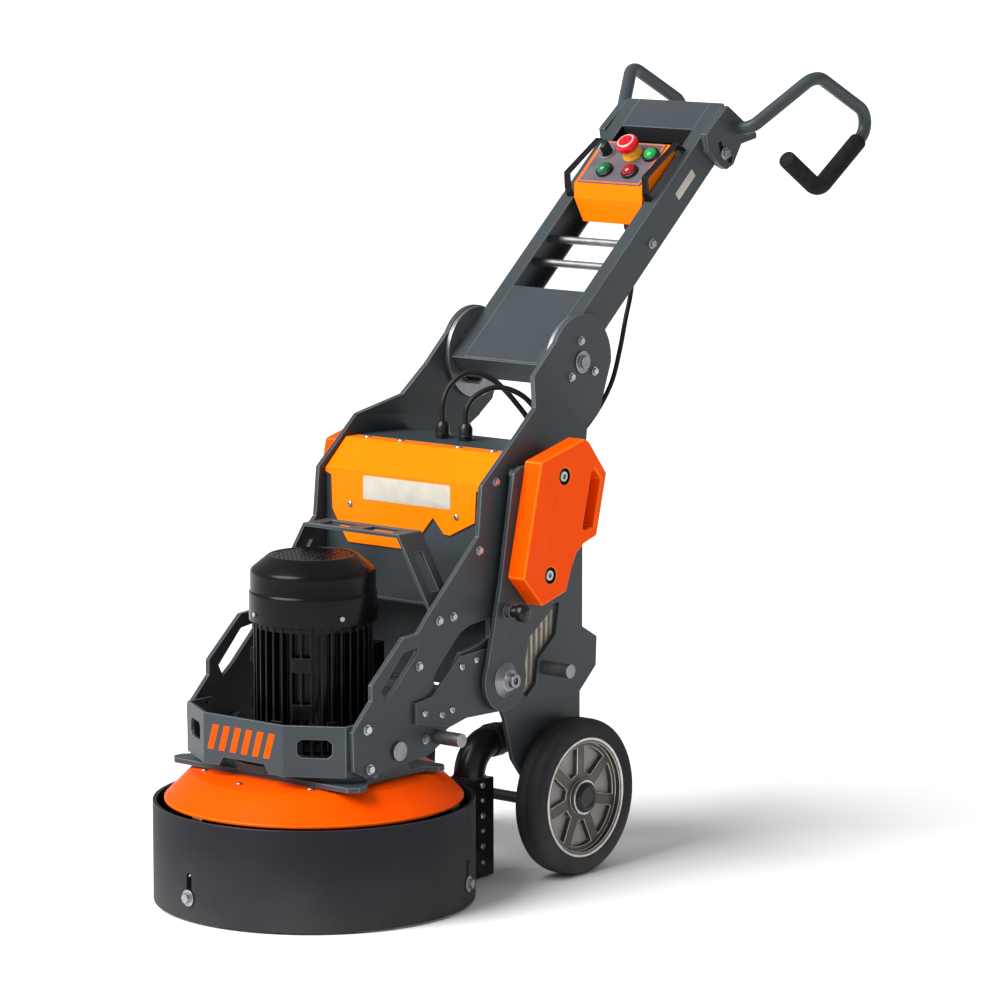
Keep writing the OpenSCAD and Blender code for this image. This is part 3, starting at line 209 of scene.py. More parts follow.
finishes = {
    "slate": makeFinish("slatePowderCoat", (0.040, 0.051, 0.058), (0.035, 0.044, 0.050), 0.42, 0.10,
                        coat=0.04, grain=1300, height=0.00003, coatRoughness=0.3),
    # a lighter, glossier copy of the slate paint for the softened edges: a painted highlight along
    # them
    "slateEdge": makeFinish("slatePaintEdgeHighlight", (0.13, 0.145, 0.155), (0.10, 0.115, 0.123), 0.30,
                            0.08, coat=0.1, grain=1300, height=0.00002),
    "orange": makeFinish("orangeEnamel", (1.0, 0.083, 0.0), (0.98, 0.072, 0.0), 0.34, 0.06,
                         coat=0.02, broad=4, grain=1100, height=0.00002, specular=0.03),
    # a lighter, yellower copy of the orange enamel for the softened edges: a painted highlight
    # along them
    "orangeEdge": makeFinish("orangeEnamelEdgeHighlight", (1.0, 0.17, 0.004), (1.0, 0.14, 0.002), 0.26, 0.06,
                             coat=0.06, grain=900, height=0.00001, specular=0.08),
    # the same orange enamel made lighter and yellower, as painted light on the front-lit cover and
    # control box
    "amber": makeFinish("orangeEnamelPaintedLight", (1.0, 0.205, 0.0), (0.99, 0.185, 0.0), 0.34, 0.06,
                        coat=0.03, broad=4, grain=1100, height=0.00002, specular=0.05),
    "black": makeFinish("blackMotorPaint", (0.0040, 0.0040, 0.0056), (0.0026, 0.0026, 0.0038),
                        0.27, 0.08, coat=0.07, grain=1500, height=0.00002, coatRoughness=0.14,
                        specular=0.13),
    # a lighter copy of the black paint for the softened edges: a painted highlight along them
    "blackEdge": makeFinish("blackPaintEdgeHighlight", (0.030, 0.030, 0.034), (0.020, 0.020, 0.023), 0.3,
                            0.08, coat=0.1, grain=1500, height=0.00002),
    "skirt": makeFinish("skirtSheet", (0.0150, 0.0165, 0.0210), (0.0120, 0.0132, 0.0170), 0.55,
                        0.10, grain=700, height=0.00005, dusty=0.10, specular=0.12),
    "zinc": makeFinish("zincPlate", (0.50, 0.51, 0.53), (0.33, 0.34, 0.36), 0.34, 0.14,
                       metallic=1.0, broad=60, grain=1600, height=0.00002),
    "satin": makeFinish("satinSteel", (0.27, 0.28, 0.29), (0.20, 0.205, 0.215), 0.42, 0.12,
                        metallic=0.9, broad=50, grain=900, height=0.00003),
    "steel": makeFinish("machinedSteel", (0.50, 0.50, 0.51), (0.36, 0.36, 0.37), 0.34, 0.14,
                        metallic=1.0, broad=30, grain=260, stretch=(1, 1, 14), height=0.00003),
    # a darker, browner copy of the cast aluminium for the rim's ribs: painted shade in the channels
    # between the pockets
    "castRib": makeFinish("castAluminiumRibPaintedShade", (0.130, 0.114, 0.098), (0.080, 0.069, 0.058), 0.46,
                          0.16, metallic=0.6, broad=24, grain=800, height=0.00009),
    "castFloor": makeFinish("castAluminiumFloor", (0.345, 0.315, 0.312), (0.295, 0.268, 0.262),
                            0.5, 0.12, metallic=0.25, broad=30, grain=600, height=0.00010),
    # a bright copy of the cast aluminium for the softened rim edges, the lip and the hub ring: a
    # painted highlight
    "castEdge": makeFinish("turnedAluminiumHighlight", (0.66, 0.62, 0.60), (0.50, 0.47, 0.45), 0.28,
                           0.08, metallic=0.9, broad=60, grain=1200, height=0.00001),
    "tyre": makeFinish("solidTyreRubber", (0.0215, 0.0205, 0.0240), (0.0145, 0.0138, 0.0158), 0.62,
                       0.12, broad=18, grain=1200, height=0.00008, dusty=0.22, specular=0.15),
    "foam": makeFinish("foamGrip", (0.014, 0.014, 0.015), (0.008, 0.008, 0.009), 0.88, 0.06,
                       broad=80, grain=1100, height=0.00035, speckle=0.25, specular=0.15),
    "plastic": makeFinish("blackPlastic", (0.0095, 0.0095, 0.0105), (0.0065, 0.0065, 0.0075), 0.32,
                          0.08, broad=40, grain=1700, height=0.00004, coat=0.12, specular=0.25),
    "cable": makeFinish("cableJacket", (0.010, 0.010, 0.011), (0.007, 0.007, 0.008), 0.38, 0.10,
                        broad=60, grain=1500, height=0.00003),
    "sink": makeFinish("heatSinkPaint", (0.56, 0.53, 0.45), (0.44, 0.41, 0.34), 0.45, 0.1,
                       metallic=0.1, broad=30, grain=900, height=0.00004),
    "panel": makeFinish("panelFoil", (0.125, 0.110, 0.125), (0.095, 0.083, 0.096), 0.35, 0.06,
                        coat=0.1, broad=30, grain=1800, height=0.00002),
    "red": makeFinish("redButton", (0.72, 0.002, 0.022), (0.60, 0.001, 0.014), 0.22, 0.05,
                      coat=0.25, broad=60, grain=1400, height=0.00001),
    "darkRed": makeFinish("darkRedLens", (0.36, 0.001, 0.012), (0.22, 0.001, 0.006), 0.16, 0.05,
                          coat=0.5, broad=120, grain=500, height=0.00004),
    "green": makeFinish("greenLens", (0.002, 0.16, 0.062), (0.001, 0.09, 0.032), 0.16, 0.05,
                        coat=0.5, broad=120, grain=500, height=0.00004),
    "lampGreen": makeFinish("pilotLens", (0.004, 0.36, 0.07), (0.002, 0.25, 0.045), 0.12, 0.05,
                            coat=0.5, broad=120, grain=400, height=0.00006),
    "yellow": makeFinish("yellowCollar", (0.95, 0.42, 0.002), (0.86, 0.34, 0.001), 0.28, 0.06,
                         coat=0.2, broad=60, grain=1200, height=0.00001),
    "cream": makeFinish("creamPlate", (0.50, 0.475, 0.41), (0.45, 0.425, 0.365), 0.35, 0.05,
                        coat=0.1, broad=50, grain=1500, height=0.00001),
    "winding": makeFinish("copperWinding", (0.48, 0.15, 0.05), (0.28, 0.08, 0.02), 0.35, 0.15,
                          metallic=0.7, broad=200, grain=600, height=0.0003),
    "segment": makeFinish("sinteredSegment", (0.42, 0.24, 0.08), (0.26, 0.15, 0.06), 0.55, 0.2,
                          metallic=0.5, broad=300, grain=1500, height=0.0002, speckle=0.5),
    "floor": makeFinish("paleFloor", (0.93, 0.93, 0.93), (0.92, 0.92, 0.92), 0.85, 0.04, broad=1,
                        grain=40, height=0.00002, specular=0.0),
}
print("finishes", len(finishes))


# ---- mesh tools ----
def finishPiece(name, mesh, *materials, angle=34):
    # an object at the origin, with smooth faces that stay sharp past an angle
    piece = bpy.data.objects.new(name, mesh)
    scene.collection.objects.link(piece)
    mesh.materials.clear()
    for material in materials:
        mesh.materials.append(finishes[material])
    mesh.shade_smooth()
    mesh.set_sharp_from_angle(angle=math.radians(angle))
    return piece


def pieceFrom(shape, name, matrix, *materials, angle=34):
    mesh = bpy.data.meshes.new(name)
    shape.to_mesh(mesh)
    shape.free()
    mesh.transform(matrix)
    if matrix.determinant() < 0:
        mesh.flip_normals()
    return finishPiece(name, mesh, *materials, angle=angle)


def settle(piece, body, slot, *nodes):
    # every piece rides and may stand for CAD nodes
    if nodes:
        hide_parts(*nodes)
    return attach(piece, body)


def lathe(profile, steps=48, loop=False):
    # a turned shape about Z, in mm; a third value marks a ring that is a hexagon
    shape = bmesh.new()
    rings = []
    sixth = math.pi / 3
    for point in profile:
        radius, level = point[0] / 1000, point[1] / 1000
        if radius == 0:
            rings.append([shape.verts.new((0, 0, level))])
            continue
        ring = []
        for k in range(steps):
            turn = 2 * math.pi * k / steps
            hexagon = math.cos(sixth / 2) / math.cos(turn % sixth - sixth / 2)
            reach = radius * hexagon if len(point) > 2 else radius
            ring.append(shape.verts.new((reach * math.cos(turn), reach * math.sin(turn), level)))
        rings.append(ring)
    pairs = list(zip(rings, rings[1:])) + ([(rings[-1], rings[0])] if loop else [])
    for low, high in pairs:
        for k in range(steps):
            j = (k + 1) % steps
            corners = [low[k % len(low)], low[j % len(low)],
                       high[j % len(high)], high[k % len(high)]]
            corners = [c for i, c in enumerate(corners) if c not in corners[:i]]
            if len(corners) > 2:
                shape.faces.new(corners)
    bmesh.ops.recalc_face_normals(shape, faces=shape.faces)
    return shape


def plateShape(outline, depth, bevel=0.0):
    # a flat plate in XY, in mm, raised along Z
    shape = bmesh.new()
    base = shape.faces.new([shape.verts.new((x / 1000, y / 1000, 0)) for x, y in outline])
    raised = bmesh.ops.extrude_face_region(shape, geom=[base])["geom"]
    bmesh.ops.translate(shape, vec=(0, 0, depth / 1000),
                        verts=[v for v in raised if isinstance(v, bmesh.types.BMVert)])
    bmesh.ops.recalc_face_normals(shape, faces=shape.faces)
    if bevel:
        top = [e for e in shape.edges if all(v.co.z > depth / 2000 for v in e.verts)]
        bmesh.ops.bevel(shape, geom=top, offset=bevel / 1000, segments=2, affect="EDGES",
                        profile=0.5)
    return shape


def roundedOutline(width, length, radius, steps=6):
    # a rectangle in mm with round corners, each a quarter turn from its start angle
    corners = [(width / 2, length / 2, 0), (-width / 2, length / 2, 90),
               (-width / 2, -length / 2, 180), (width / 2, -length / 2, 270)]
    points = []
    for x, y, start in corners:
        cx, cy = x - math.copysign(radius, x), y - math.copysign(radius, y)
        for k in range(steps + 1):
            turn = math.radians(start + 90 * k / steps)
            points.append((cx + radius * math.cos(turn), cy + radius * math.sin(turn)))
    return points


def bentPath(corners, bends, steps=12):
    # straight runs joined by round bends, as in the CAD tube
    corners = [Vector(c) for c in corners]
    path = [corners[0]]
    for before, corner, after, radius in zip(corners, corners[1:], corners[2:], bends[1:]):
        into, out = (corner - before).normalized(), (after - corner).normalized()
        turn = into.angle(out)
        cut = radius * math.tan(turn / 2)
        inward = (out - into * into.dot(out)).normalized()
        centre = corner - into * cut + inward * radius
        for k in range(steps + 1):
            swing = turn * k / steps
            path.append(centre - inward * radius * math.cos(swing)
                        + into * radius * math.sin(swing))
    return path + [corners[-1]]


def smoothPath(points, steps):
    # a curve through every point
    points = [Vector(p) for p in points]
    last = len(points) - 1
    path = []
    for i in range(last):
        a, b, c, d = (points[min(max(i + n, 0), last)] for n in (-1, 0, 1, 2))
        for k in range(steps):
            t = k / steps
            path.append(0.5 * (2 * b + (c - a) * t + (2 * a - 5 * b + 4 * c - d) * t * t
                               + (3 * b - 3 * c + d - a) * t * t * t))
    return path + [points[last]]


def sweep(path, radii, sides=24):
    # a closed tube along a path in metres, with a radius for each of its points
    shape = bmesh.new()
    rings = []
    side = None
    for i, point in enumerate(path):
        along = (path[min(i + 1, len(path) - 1)] - path[max(i - 1, 0)]).normalized()
        side = along.orthogonal() if side is None else side - along * side.dot(along)
        side.normalize()
        other = along.cross(side)
        turns = [2 * math.pi * k / sides for k in range(sides)]
        rings.append([shape.verts.new(point + radii[i] * (side * math.cos(t) + other * math.sin(t)))
                      for t in turns])
    for low, high in zip(rings, rings[1:]):
        for k in range(sides):
            shape.faces.new((low[k], low[(k + 1) % sides], high[(k + 1) % sides], high[k]))
    shape.faces.new(rings[0])
    shape.faces.new(rings[-1])
    bmesh.ops.recalc_face_normals(shape, faces=shape.faces)
    return shape


cleaning = {"weld": 0.000004, "flat": math.radians(0.5), "sharp": math.radians(33)}


def weldedCopy(node):
    # the CAD node's triangles as one clean shape, flat faces made whole
    shape = bmesh.new()
    shape.from_mesh(frame["nodes"][node].data)
    bmesh.ops.remove_doubles(shape, verts=shape.verts, dist=cleaning["weld"])
    bmesh.ops.dissolve_limit(shape, angle_limit=cleaning["flat"], verts=shape.verts,
                             edges=shape.edges)
    return shape


def bevelledPiece(shape, name, bevel, segments, *materials):
    # softened edges take the second material, a lighter copy of the paint laid on as a painted
    # highlight along the edges
    piece = pieceFrom(shape, name, Matrix.Identity(4), *materials)
    modifier = piece.modifiers.new("edges", "BEVEL")
    modifier.width = bevel / 1000
    modifier.segments = segments
    modifier.limit_method = "ANGLE"
    modifier.angle_limit = cleaning["sharp"]
    modifier.use_clamp_overlap = False
    modifier.harden_normals = True
    modifier.material = len(materials) - 1
    graph = bpy.context.evaluated_depsgraph_get()
    mesh = bpy.data.meshes.new_from_object(piece.evaluated_get(graph))
    piece.modifiers.clear()
    piece.data = mesh
    mesh.name = name
    return piece


def dressNode(node, bevel, *materials, segments):
    # a softened copy stands for the CAD node, on its body
    words = node.split("_")
    name = words[0] + "".join(w.capitalize() for w in words[1:])
    subparts = frame["record"]["subparts"]
    slot = next(p["material_slot"] for p in subparts if p["node"] == node)
    piece = bevelledPiece(weldedCopy(node), name, bevel, segments, *materials)
    return settle(piece, frame["nodes"][node]["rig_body"], slot, node)


def islandBoxes(shape):
    # the lowest and highest corners of each loose solid, in the order of its first vertex
    done = set()
    boxes = []
    for start in shape.verts:
        if start in done:
            continue
        island, queue = {start}, [start]
        while queue:
            vert = queue.pop()
            for edge in vert.link_edges:
                other = edge.other_vert(vert)
                if other not in island:
                    island.add(other)
                    queue.append(other)
        done |= island
        places = [v.co for v in island]
        low = Vector([min(p[i] for p in places) for i in range(3)])
        high = Vector([max(p[i] for p in places) for i in range(3)])
        boxes.append((low, high, island))
    return boxes


# ---- camera ----
camera = {"place": (4.777, -5.8035, 1.714), "target": (0.8106, -1.0036, 0.7651), "lens": 169.67,
          "sensor": 36, "farthest": 200}
eye = bpy.data.objects.new("camera", bpy.data.cameras.new("camera"))
scene.collection.objects.link(eye)
eye.location = camera["place"]
gaze = Vector(camera["target"]) - Vector(camera["place"])
eye.rotation_euler = gaze.to_track_quat("-Z", "Y").to_euler()
eye.data.lens = camera["lens"]
eye.data.sensor_width = camera["sensor"]
eye.data.clip_end = camera["farthest"]
scene.camera = eye

# ---- cables ----
cables = {
    "controlRoute": [[30, 752, 989], [30, 754, 972], [36, 748, 948], [54, 726, 918], [74, 696, 888],
                     [84, 670, 850], [84, 655, 800], [80, 636, 745], [70, 596, 690], [62, 532, 645],
                     [58, 470, 622], [57, 454, 606], [57, 453, 588]],
    "cabinetRoutes": [
        [[-30, 345, 694], [-30, 346, 735], [-26, 360, 765], [-8, 385, 784], [22, 412, 770],
         [55, 432, 730], [78, 446, 690], [86, 453, 650], [84, 453, 615], [84, 453, 588]],
        [[18, 345, 694], [18, 347, 730], [26, 362, 752], [48, 390, 764], [78, 418, 748],
         [102, 440, 706], [114, 453, 660], [112, 453, 620], [110, 453, 588]]],
    "controlDiameter": 0.008,
    "cabinetDiameter": 0.009,
    "stepsPerPoint": 8,
    "sides": 16,
}


def routeLength(path):
    return sum((b - a).length for a, b in zip(path, path[1:]))


def layCable(name, route, diameter):
    path = smoothPath([at(*p) for p in route], cables["stepsPerPoint"])
    tube = sweep(path, [diameter / 2] * len(path), cables["sides"])
    piece = pieceFrom(tube, name, Matrix.Identity(4), "cable")
    round(routeLength(path), 3)
    return piece


controlCable = layCable("controlCable", cables["controlRoute"], cables["controlDiameter"])
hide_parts("control_cable")
at(62, 500, 620)
at(80, 700, 900)
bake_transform(controlCable)
cabinetCables = [layCable("cabinetCable" + str(i + 1), route, cables["cabinetDiameter"])
                 for i, route in enumerate(cables["cabinetRoutes"])]
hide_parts("cabinet_cables")
for cable in cabinetCables:
    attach(cable, "chassis")
print("cables", 1 + len(cabinetCables))

# ---- sheet metal and castings that keep the CAD shape, with softened edges ----
softened = [
    # bevel in mm, its segments, the finishes of faces and edges, the nodes; an edge finish, where
    # given, is lighter than its face finish, a painted highlight along the softened edges
    (0.9, 2, ("slate", "slateEdge"), [
        "side_plate_left", "side_plate_right", "front_guard", "lifting_bracket", "cross_members",
        "cabinet_shell", "cabinet_lid", "head_plate", "handle_rails", "handle_covers",
        "bar_brackets", "weight_arm_left", "weight_arm_right"]),
    (0.9, 2, ("orange", "orangeEdge"), ["dome"]),
    (0.5, 2, ("black", "blackEdge"), ["motor_body", "panel_guards"]),
    (2.6, 3, ("orange", "orangeEdge"), ["weight_left", "weight_right"]),
    # the cover and control box take the lighter orange, painted light on their front-lit faces
    (0.9, 2, ("amber", "orangeEdge"), ["cabinet_cover", "control_box"]),
    (0.8, 2, ("skirt", "blackEdge"), ["skirt"]),
    (0.7, 2, ("satin", "zinc"), ["axles_and_pins", "handle_hardware"]),
    # the rims take painted shade on their ribs and a painted highlight on their edges
    (0.9, 2, ("castRib", "castEdge"), ["rim_left", "rim_right"]),
    (0.5, 2, ("plastic", "blackEdge"), ["glands", "control_gland"]),
    (0.6, 2, ("plastic", "blackEdge"), ["dust_elbow"]),
    (0.4, 2, ("sink",), ["heat_sink"]),
]
for bevel, segments, paints, nodes in softened:
    for node in nodes:
        dressNode(node, bevel, *paints, segments=segments)
print("softened nodes done")

# ---- hidden works keep their CAD meshes ----
inside = {"steel": ["rotor", "carrier", "satellite_1", "satellite_2", "satellite_3"],
          "zinc": ["gearbox"], "winding": ["stator"],
          "segment": ["grinding_shoes_1", "grinding_shoes_2", "grinding_shoes_3"]}
for finish, nodes in inside.items():
    for node in nodes:
        mesh = frame["nodes"][node].data
        mesh.materials.clear()
        mesh.materials.append(finishes[finish])

# ---- wheels ----
wheel = {
    "radius": 125, "width": 50, "rimRadius": 96, "axleY": 387, "innerFace": 182,
    # profiles as radius and level outwards from the wheel's inner face
    "floor": [(34, 25), (84, 25), (84, 29), (34, 29)],
    "lip": [(91.5, 46.6), (95.6, 46.6), (95.8, 47.8), (95, 48.6), (92.4, 48.4), (91.4, 47.6)],
    "hubRing": [(24.2, 44), (28, 44), (28, 46.6), (27, 47.4), (24.6, 47.4), (24.2, 46.8)],
    "hubCap": [(0, 52.6), (13, 52.6), (14, 53.4), (18, 53.9), (19.4, 53.2), (22.6, 51.6), (24, 50),
               (24, 45), (0, 45)],
}


def tyreProfile(w):
    r, b = w["radius"], w["width"]
    outer = [(w["rimRadius"] + 3, b - 2.4), (r - 18, b - 0.8), (r - 14, b - 0.3), (r - 9, b - 0.6),
             (r - 5, b - 2.4), (r - 2.2, b - 5.5), (r - 0.6, b - 10), (r, b - 16)]
    groove = [(r, b / 2 + 0.9), (r - 0.5, b / 2), (r, b / 2 - 0.9)]
    inner = [(radius, b - level) for radius, level in reversed(outer)]
    return [(w["rimRadius"], b - 3)] + outer + groove + inner + [(w["rimRadius"], 3)]


for side, word in ((-1, "left"), (1, "right")):
    title = word.capitalize()
    hub = alongX(side * wheel["innerFace"], wheel["axleY"], wheel["radius"], side)
    body = "wheel_" + word
    tyre = lathe(tyreProfile(wheel), 128, loop=True)
    settle(pieceFrom(tyre, "tyre" + title, hub, "tyre"), body, "tyre_rubber", "tyre_" + word)
    floor = lathe(wheel["floor"], 96, loop=True)
    settle(pieceFrom(floor, "rimFloor" + title, hub, "castFloor"), body, "cast_rim")
    lip = lathe(wheel["lip"], 128, loop=True)
    settle(pieceFrom(lip, "rimLip" + title, hub, "castEdge"), body, "cast_rim")
    ring = lathe(wheel["hubRing"], 64, loop=True)
    settle(pieceFrom(ring, "hubRing" + title, hub, "castEdge"), body, "cast_rim")
    cap = lathe(wheel["hubCap"], 64)
    settle(pieceFrom(cap, "hubCap" + title, hub, "plastic"), body, "black_plastic",
           "hub_cap_" + word)
print("wheels done")


# ---- repeats made by geometry nodes ----
def groupWith(name, sockets):
    # an empty geometry tree with its named inputs
    group = bpy.data.node_groups.new(name, "GeometryNodeTree")
    group.interface.new_socket("Geometry", in_out="INPUT", socket_type="NodeSocketGeometry")
    for label, kind in sockets.items():
        group.interface.new_socket(label, in_out="INPUT", socket_type="NodeSocket" + kind)
    group.interface.new_socket("Geometry", in_out="OUTPUT", socket_type="NodeSocketGeometry")
    tree = Tree(group)
    source = group.nodes.new("NodeGroupInput")
    inputs = {"Geometry": Wire(tree, source, 0)}
    for i, label in enumerate(sockets):
        inputs[label] = Wire(tree, source, i + 1)
    return group, tree, inputs


def closeGroup(tree, geometry, material):
    whole = tree.add("GeometryNodeRealizeInstances", None, {"Geometry": geometry})
    dressed = tree.add("GeometryNodeSetMaterial", None, {"Geometry": whole, "Material": material})
    tree.add("NodeGroupOutput", None, {0: dressed})


def grown(holder, group, values):
    # the tree's result as a plain mesh
    modifier = holder.modifiers.new("grow", "NODES")
    modifier.node_group = group
    for item in group.interface.items_tree:
        if item.in_out == "INPUT" and item.name in values:
            modifier[item.identifier] = values[item.name]
    scene.collection.objects.link(holder)
    graph = bpy.context.evaluated_depsgraph_get()
    graph.update()
    mesh = bpy.data.meshes.new_from_object(holder.evaluated_get(graph))
    bpy.data.objects.remove(holder)
    return mesh


# a fastener on each point, turned to face outwards
fastenerGroup, tree, given = groupWith("fasteners", {"Fastener": "Object", "Material": "Material"})
vectorKind = {"data_type": "FLOAT_VECTOR"}
facing = tree.add("GeometryNodeInputNamedAttribute", vectorKind, {"Name": "facing"})
size = tree.add("GeometryNodeInputNamedAttribute", vectorKind, {"Name": "size"})
turned = tree.add("FunctionNodeAlignRotationToVector", {"axis": "Z"}, {"Vector": facing})
shape = tree.add("GeometryNodeObjectInfo", None, {"Object": given["Fastener"]}, "Geometry")
placed = tree.add("GeometryNodeInstanceOnPoints", None, {
    "Points": given["Geometry"], "Instance": shape, "Rotation": turned, "Scale": size})
closeGroup(tree, placed, given["Material"])

fastenerShapes = {
    # one metre in radius and in height, so that a size is a scale
    "hexBolt": [(0, 0), (970, 0), (1000, 60), (1000, 170), (970, 230), (780, 235),
                (770, 240, True), (770, 880, True), (690, 985, True), (640, 1000), (0, 1000)],
    "buttonHead": [(0, 0), (1000, 0), (1000, 180), (950, 480), (820, 760), (620, 940), (450, 1000),
                   (430, 1000, True), (430, 420, True), (0, 420)],
    "capHead": [(0, 0), (1000, 0), (1000, 900), (930, 1000), (560, 1000), (520, 980, True),
                (500, 380, True), (0, 380)],
}
fastenerBases = {}
for name, profile in fastenerShapes.items():
    mesh = bpy.data.meshes.new(name)
    turnedShape = lathe(profile, 24)
    turnedShape.to_mesh(mesh)
    turnedShape.free()
    mesh.shade_smooth()
    mesh.set_sharp_from_angle(angle=math.radians(30))
    fastenerBases[name] = bpy.data.objects.new(name, mesh)


def fasten(name, kind, spots, body, finish, slot, *nodes):
    # spots are (base point, outward direction, radius, height) in metres
    mesh = bpy.data.meshes.new(name)
    mesh.from_pydata([tuple(s[0]) for s in spots], [], [])
    facing = mesh.attributes.new("facing", "FLOAT_VECTOR", "POINT")
    size = mesh.attributes.new("size", "FLOAT_VECTOR", "POINT")
    for i, (base, outward, radius, height) in enumerate(spots):
        facing.data[i].vector = outward
        size.data[i].vector = (radius, radius, height)
    result = grown(bpy.data.objects.new(name, mesh), fastenerGroup,
                   {"Fastener": fastenerBases[kind], "Material": finishes[finish]})
    result.name = name
    piece = bpy.data.objects.new(name, result)
    scene.collection.objects.link(piece)
    return settle(piece, body, slot, *nodes)


def spotOf(low, high):
    # a CAD fastener's box as a spot; it faces up, outwards along X or to the front
    extent, middle = high - low, (low + high) / 2
    if extent.z < min(extent.x, extent.y):
        return Vector((middle.x, middle.y, low.z)), (0, 0, 1), extent.x / 2, extent.z
    if extent.x < min(extent.y, extent.z):
        side = math.copysign(1, middle.x)
        base = low.x if side > 0 else high.x
        return Vector((base, middle.y, middle.z)), (side, 0, 0), extent.y / 2, extent.x
    return Vector((middle.x, high.y, middle.z)), (0, -1, 0), extent.x / 2, extent.y


tallHead = 0.0045  # a head at least this high is a hexagon bolt
frameShape = weldedCopy("frame_bolts")
frameSpots = [spotOf(low, high) for low, high, verts in islandBoxes(frameShape)]
frameShape.free()
fasten("frameHexBolts", "hexBolt", [s for s in frameSpots if s[3] > tallHead], "chassis", "zinc",
       "zinc", "frame_bolts")
fasten("frameScrews", "buttonHead", [s for s in frameSpots if s[3] <= tallHead], "chassis", "zinc",
       "zinc")

# the head's upright fasteners are replaced, and its other bolts keep the CAD shape
headShape = weldedCopy("head_bolts")
headSpots, hangers = [], set()
for low, high, verts in islandBoxes(headShape):
    if high.z - low.z < min(high.x - low.x, high.y - low.y):
        headSpots.append(spotOf(low, high))
    else:
        hangers |= verts
bmesh.ops.delete(headShape, geom=[v for v in headShape.verts if v not in hangers], context="VERTS")
settle(bevelledPiece(headShape, "headBolts", 0.5, 2, "zinc"), "head", "zinc", "head_bolts")
# the motor's flange bolts take the lighter black of the painted edge highlight
fasten("motorFlangeBolts", "hexBolt", [s for s in headSpots if s[3] > tallHead], "head",
       "blackEdge", "zinc")
fasten("domeScrews", "buttonHead", [s for s in headSpots if s[3] <= tallHead], "head", "zinc",
       "zinc")
ductScrews = {"face": 121, "y": 262, "levels": (150, 126, 101, 77, 52, 26), "height": 0.0028,
              "radii": (0.0052, 0.0040)}
ductSpots = [(at(ductScrews["face"], ductScrews["y"], z), (1, 0, 0), ductScrews["radii"][i % 2],
              ductScrews["height"]) for i, z in enumerate(ductScrews["levels"])]
fasten("ductScrews", "buttonHead", ductSpots, "skirt", "zinc", "zinc")
print("fasteners", len(frameSpots) + len(headSpots))

# ---- fan cover with its perforated top ----
fanCover = {"radius": 99, "low": 441, "bead": 43, "top": 541, "discRadius": 62, "holeRadius": 3.3,
            "pitch": 9.2, "rows": 15, "rimLeft": 3, "drillDepth": 12}
coverGroup, tree, given = groupWith("perforatedCover", {
    "Centre": "Vector", "Disc Radius": "Float", "Hole Radius": "Float", "Pitch": "Float",
    "Depth": "Float", "Rows": "Int", "Material": "Material"})
span = given["Pitch"] * (given["Rows"] - 1)
grid = tree.add("GeometryNodeMeshGrid", None, {
    "Size X": span, "Size Y": span, "Vertices X": given["Rows"], "Vertices Y": given["Rows"]})
where = tree.add("GeometryNodeInputPosition")
reach = tree.add("ShaderNodeVectorMath", {"operation": "LENGTH"}, {0: where}, "Value")
kept = tree.add("GeometryNodeDeleteGeometry", {"domain": "POINT"}, {
    "Geometry": grid, "Selection": reach > given["Disc Radius"]})
moved = tree.add("GeometryNodeTransform", None, {
    "Geometry": kept, "Translation": given["Centre"]})
drill = tree.add("GeometryNodeMeshCylinder", None, {
    "Vertices": 10, "Radius": given["Hole Radius"], "Depth": given["Depth"]})
drills = tree.add("GeometryNodeInstanceOnPoints", None, {"Points": moved, "Instance": drill})
solid = tree.add("GeometryNodeRealizeInstances", None, {"Geometry": drills})
cut = tree.add("GeometryNodeMeshBoolean", {"operation": "DIFFERENCE", "solver": "MANIFOLD"}, {
    "Mesh 1": given["Geometry"], "Mesh 2": solid})
closeGroup(tree, cut, given["Material"])


def coverProfile(cover):
    # up the outside, over the top, and down the inside
    r, low, top, disc = cover["radius"], cover["low"], cover["top"], cover["discRadius"]
    bead = low + cover["bead"]
    outside = [(r, low), (r, bead - 2.5), (r - 0.25, bead - 0.5), (r - 0.9, bead + 1.2),
               (r - 1.7, bead + 2.2), (r - 2, bead + 3.4), (r - 2, top - 28), (r - 2.4, top - 25),
               (r - 3.4, top - 22.4), (r - 5, top - 20.4), (r - 29, top - 1), (r - 30.5, top - 0.3),
               (r - 32, top), (disc + 1.5, top), (disc + 0.8, top - 0.9), (0, top - 0.9)]
    inside = [(0, top - 2.8), (64, top - 2.8), (r - 7.6, top - 22), (r - 4.6, top - 28),
              (r - 4.6, bead + 3), (r - 2.5, bead), (r - 2.5, low)]
    return outside + inside


blank = pieceFrom(lathe(coverProfile(fanCover), 96), "fanCoverBlank", placeAt(0, 0, 0), "black")
# the boolean needs closed shells, so the open rings at the lower edge are capped
closed = bmesh.new()
closed.from_mesh(blank.data)
bmesh.ops.holes_fill(closed, edges=closed.edges, sides=0)
bmesh.ops.recalc_face_normals(closed, faces=closed.faces)
closed.to_mesh(blank.data)
closed.free()
scene.collection.objects.unlink(blank)
coverMesh = grown(blank, coverGroup, {
    "Centre": at(0, 0, fanCover["top"]),
    "Disc Radius": fanCover["discRadius"] / 1000 - fanCover["rimLeft"] / 1000,
    "Hole Radius": fanCover["holeRadius"] / 1000, "Pitch": fanCover["pitch"] / 1000,
    "Depth": fanCover["drillDepth"] / 1000, "Rows": fanCover["rows"],
    "Material": finishes["black"]})
coverPiece = finishPiece("fanCover", coverMesh, "black")
settle(coverPiece, "head", "black_paint", "fan_cover")
print("fan cover", len(coverMesh.polygons))

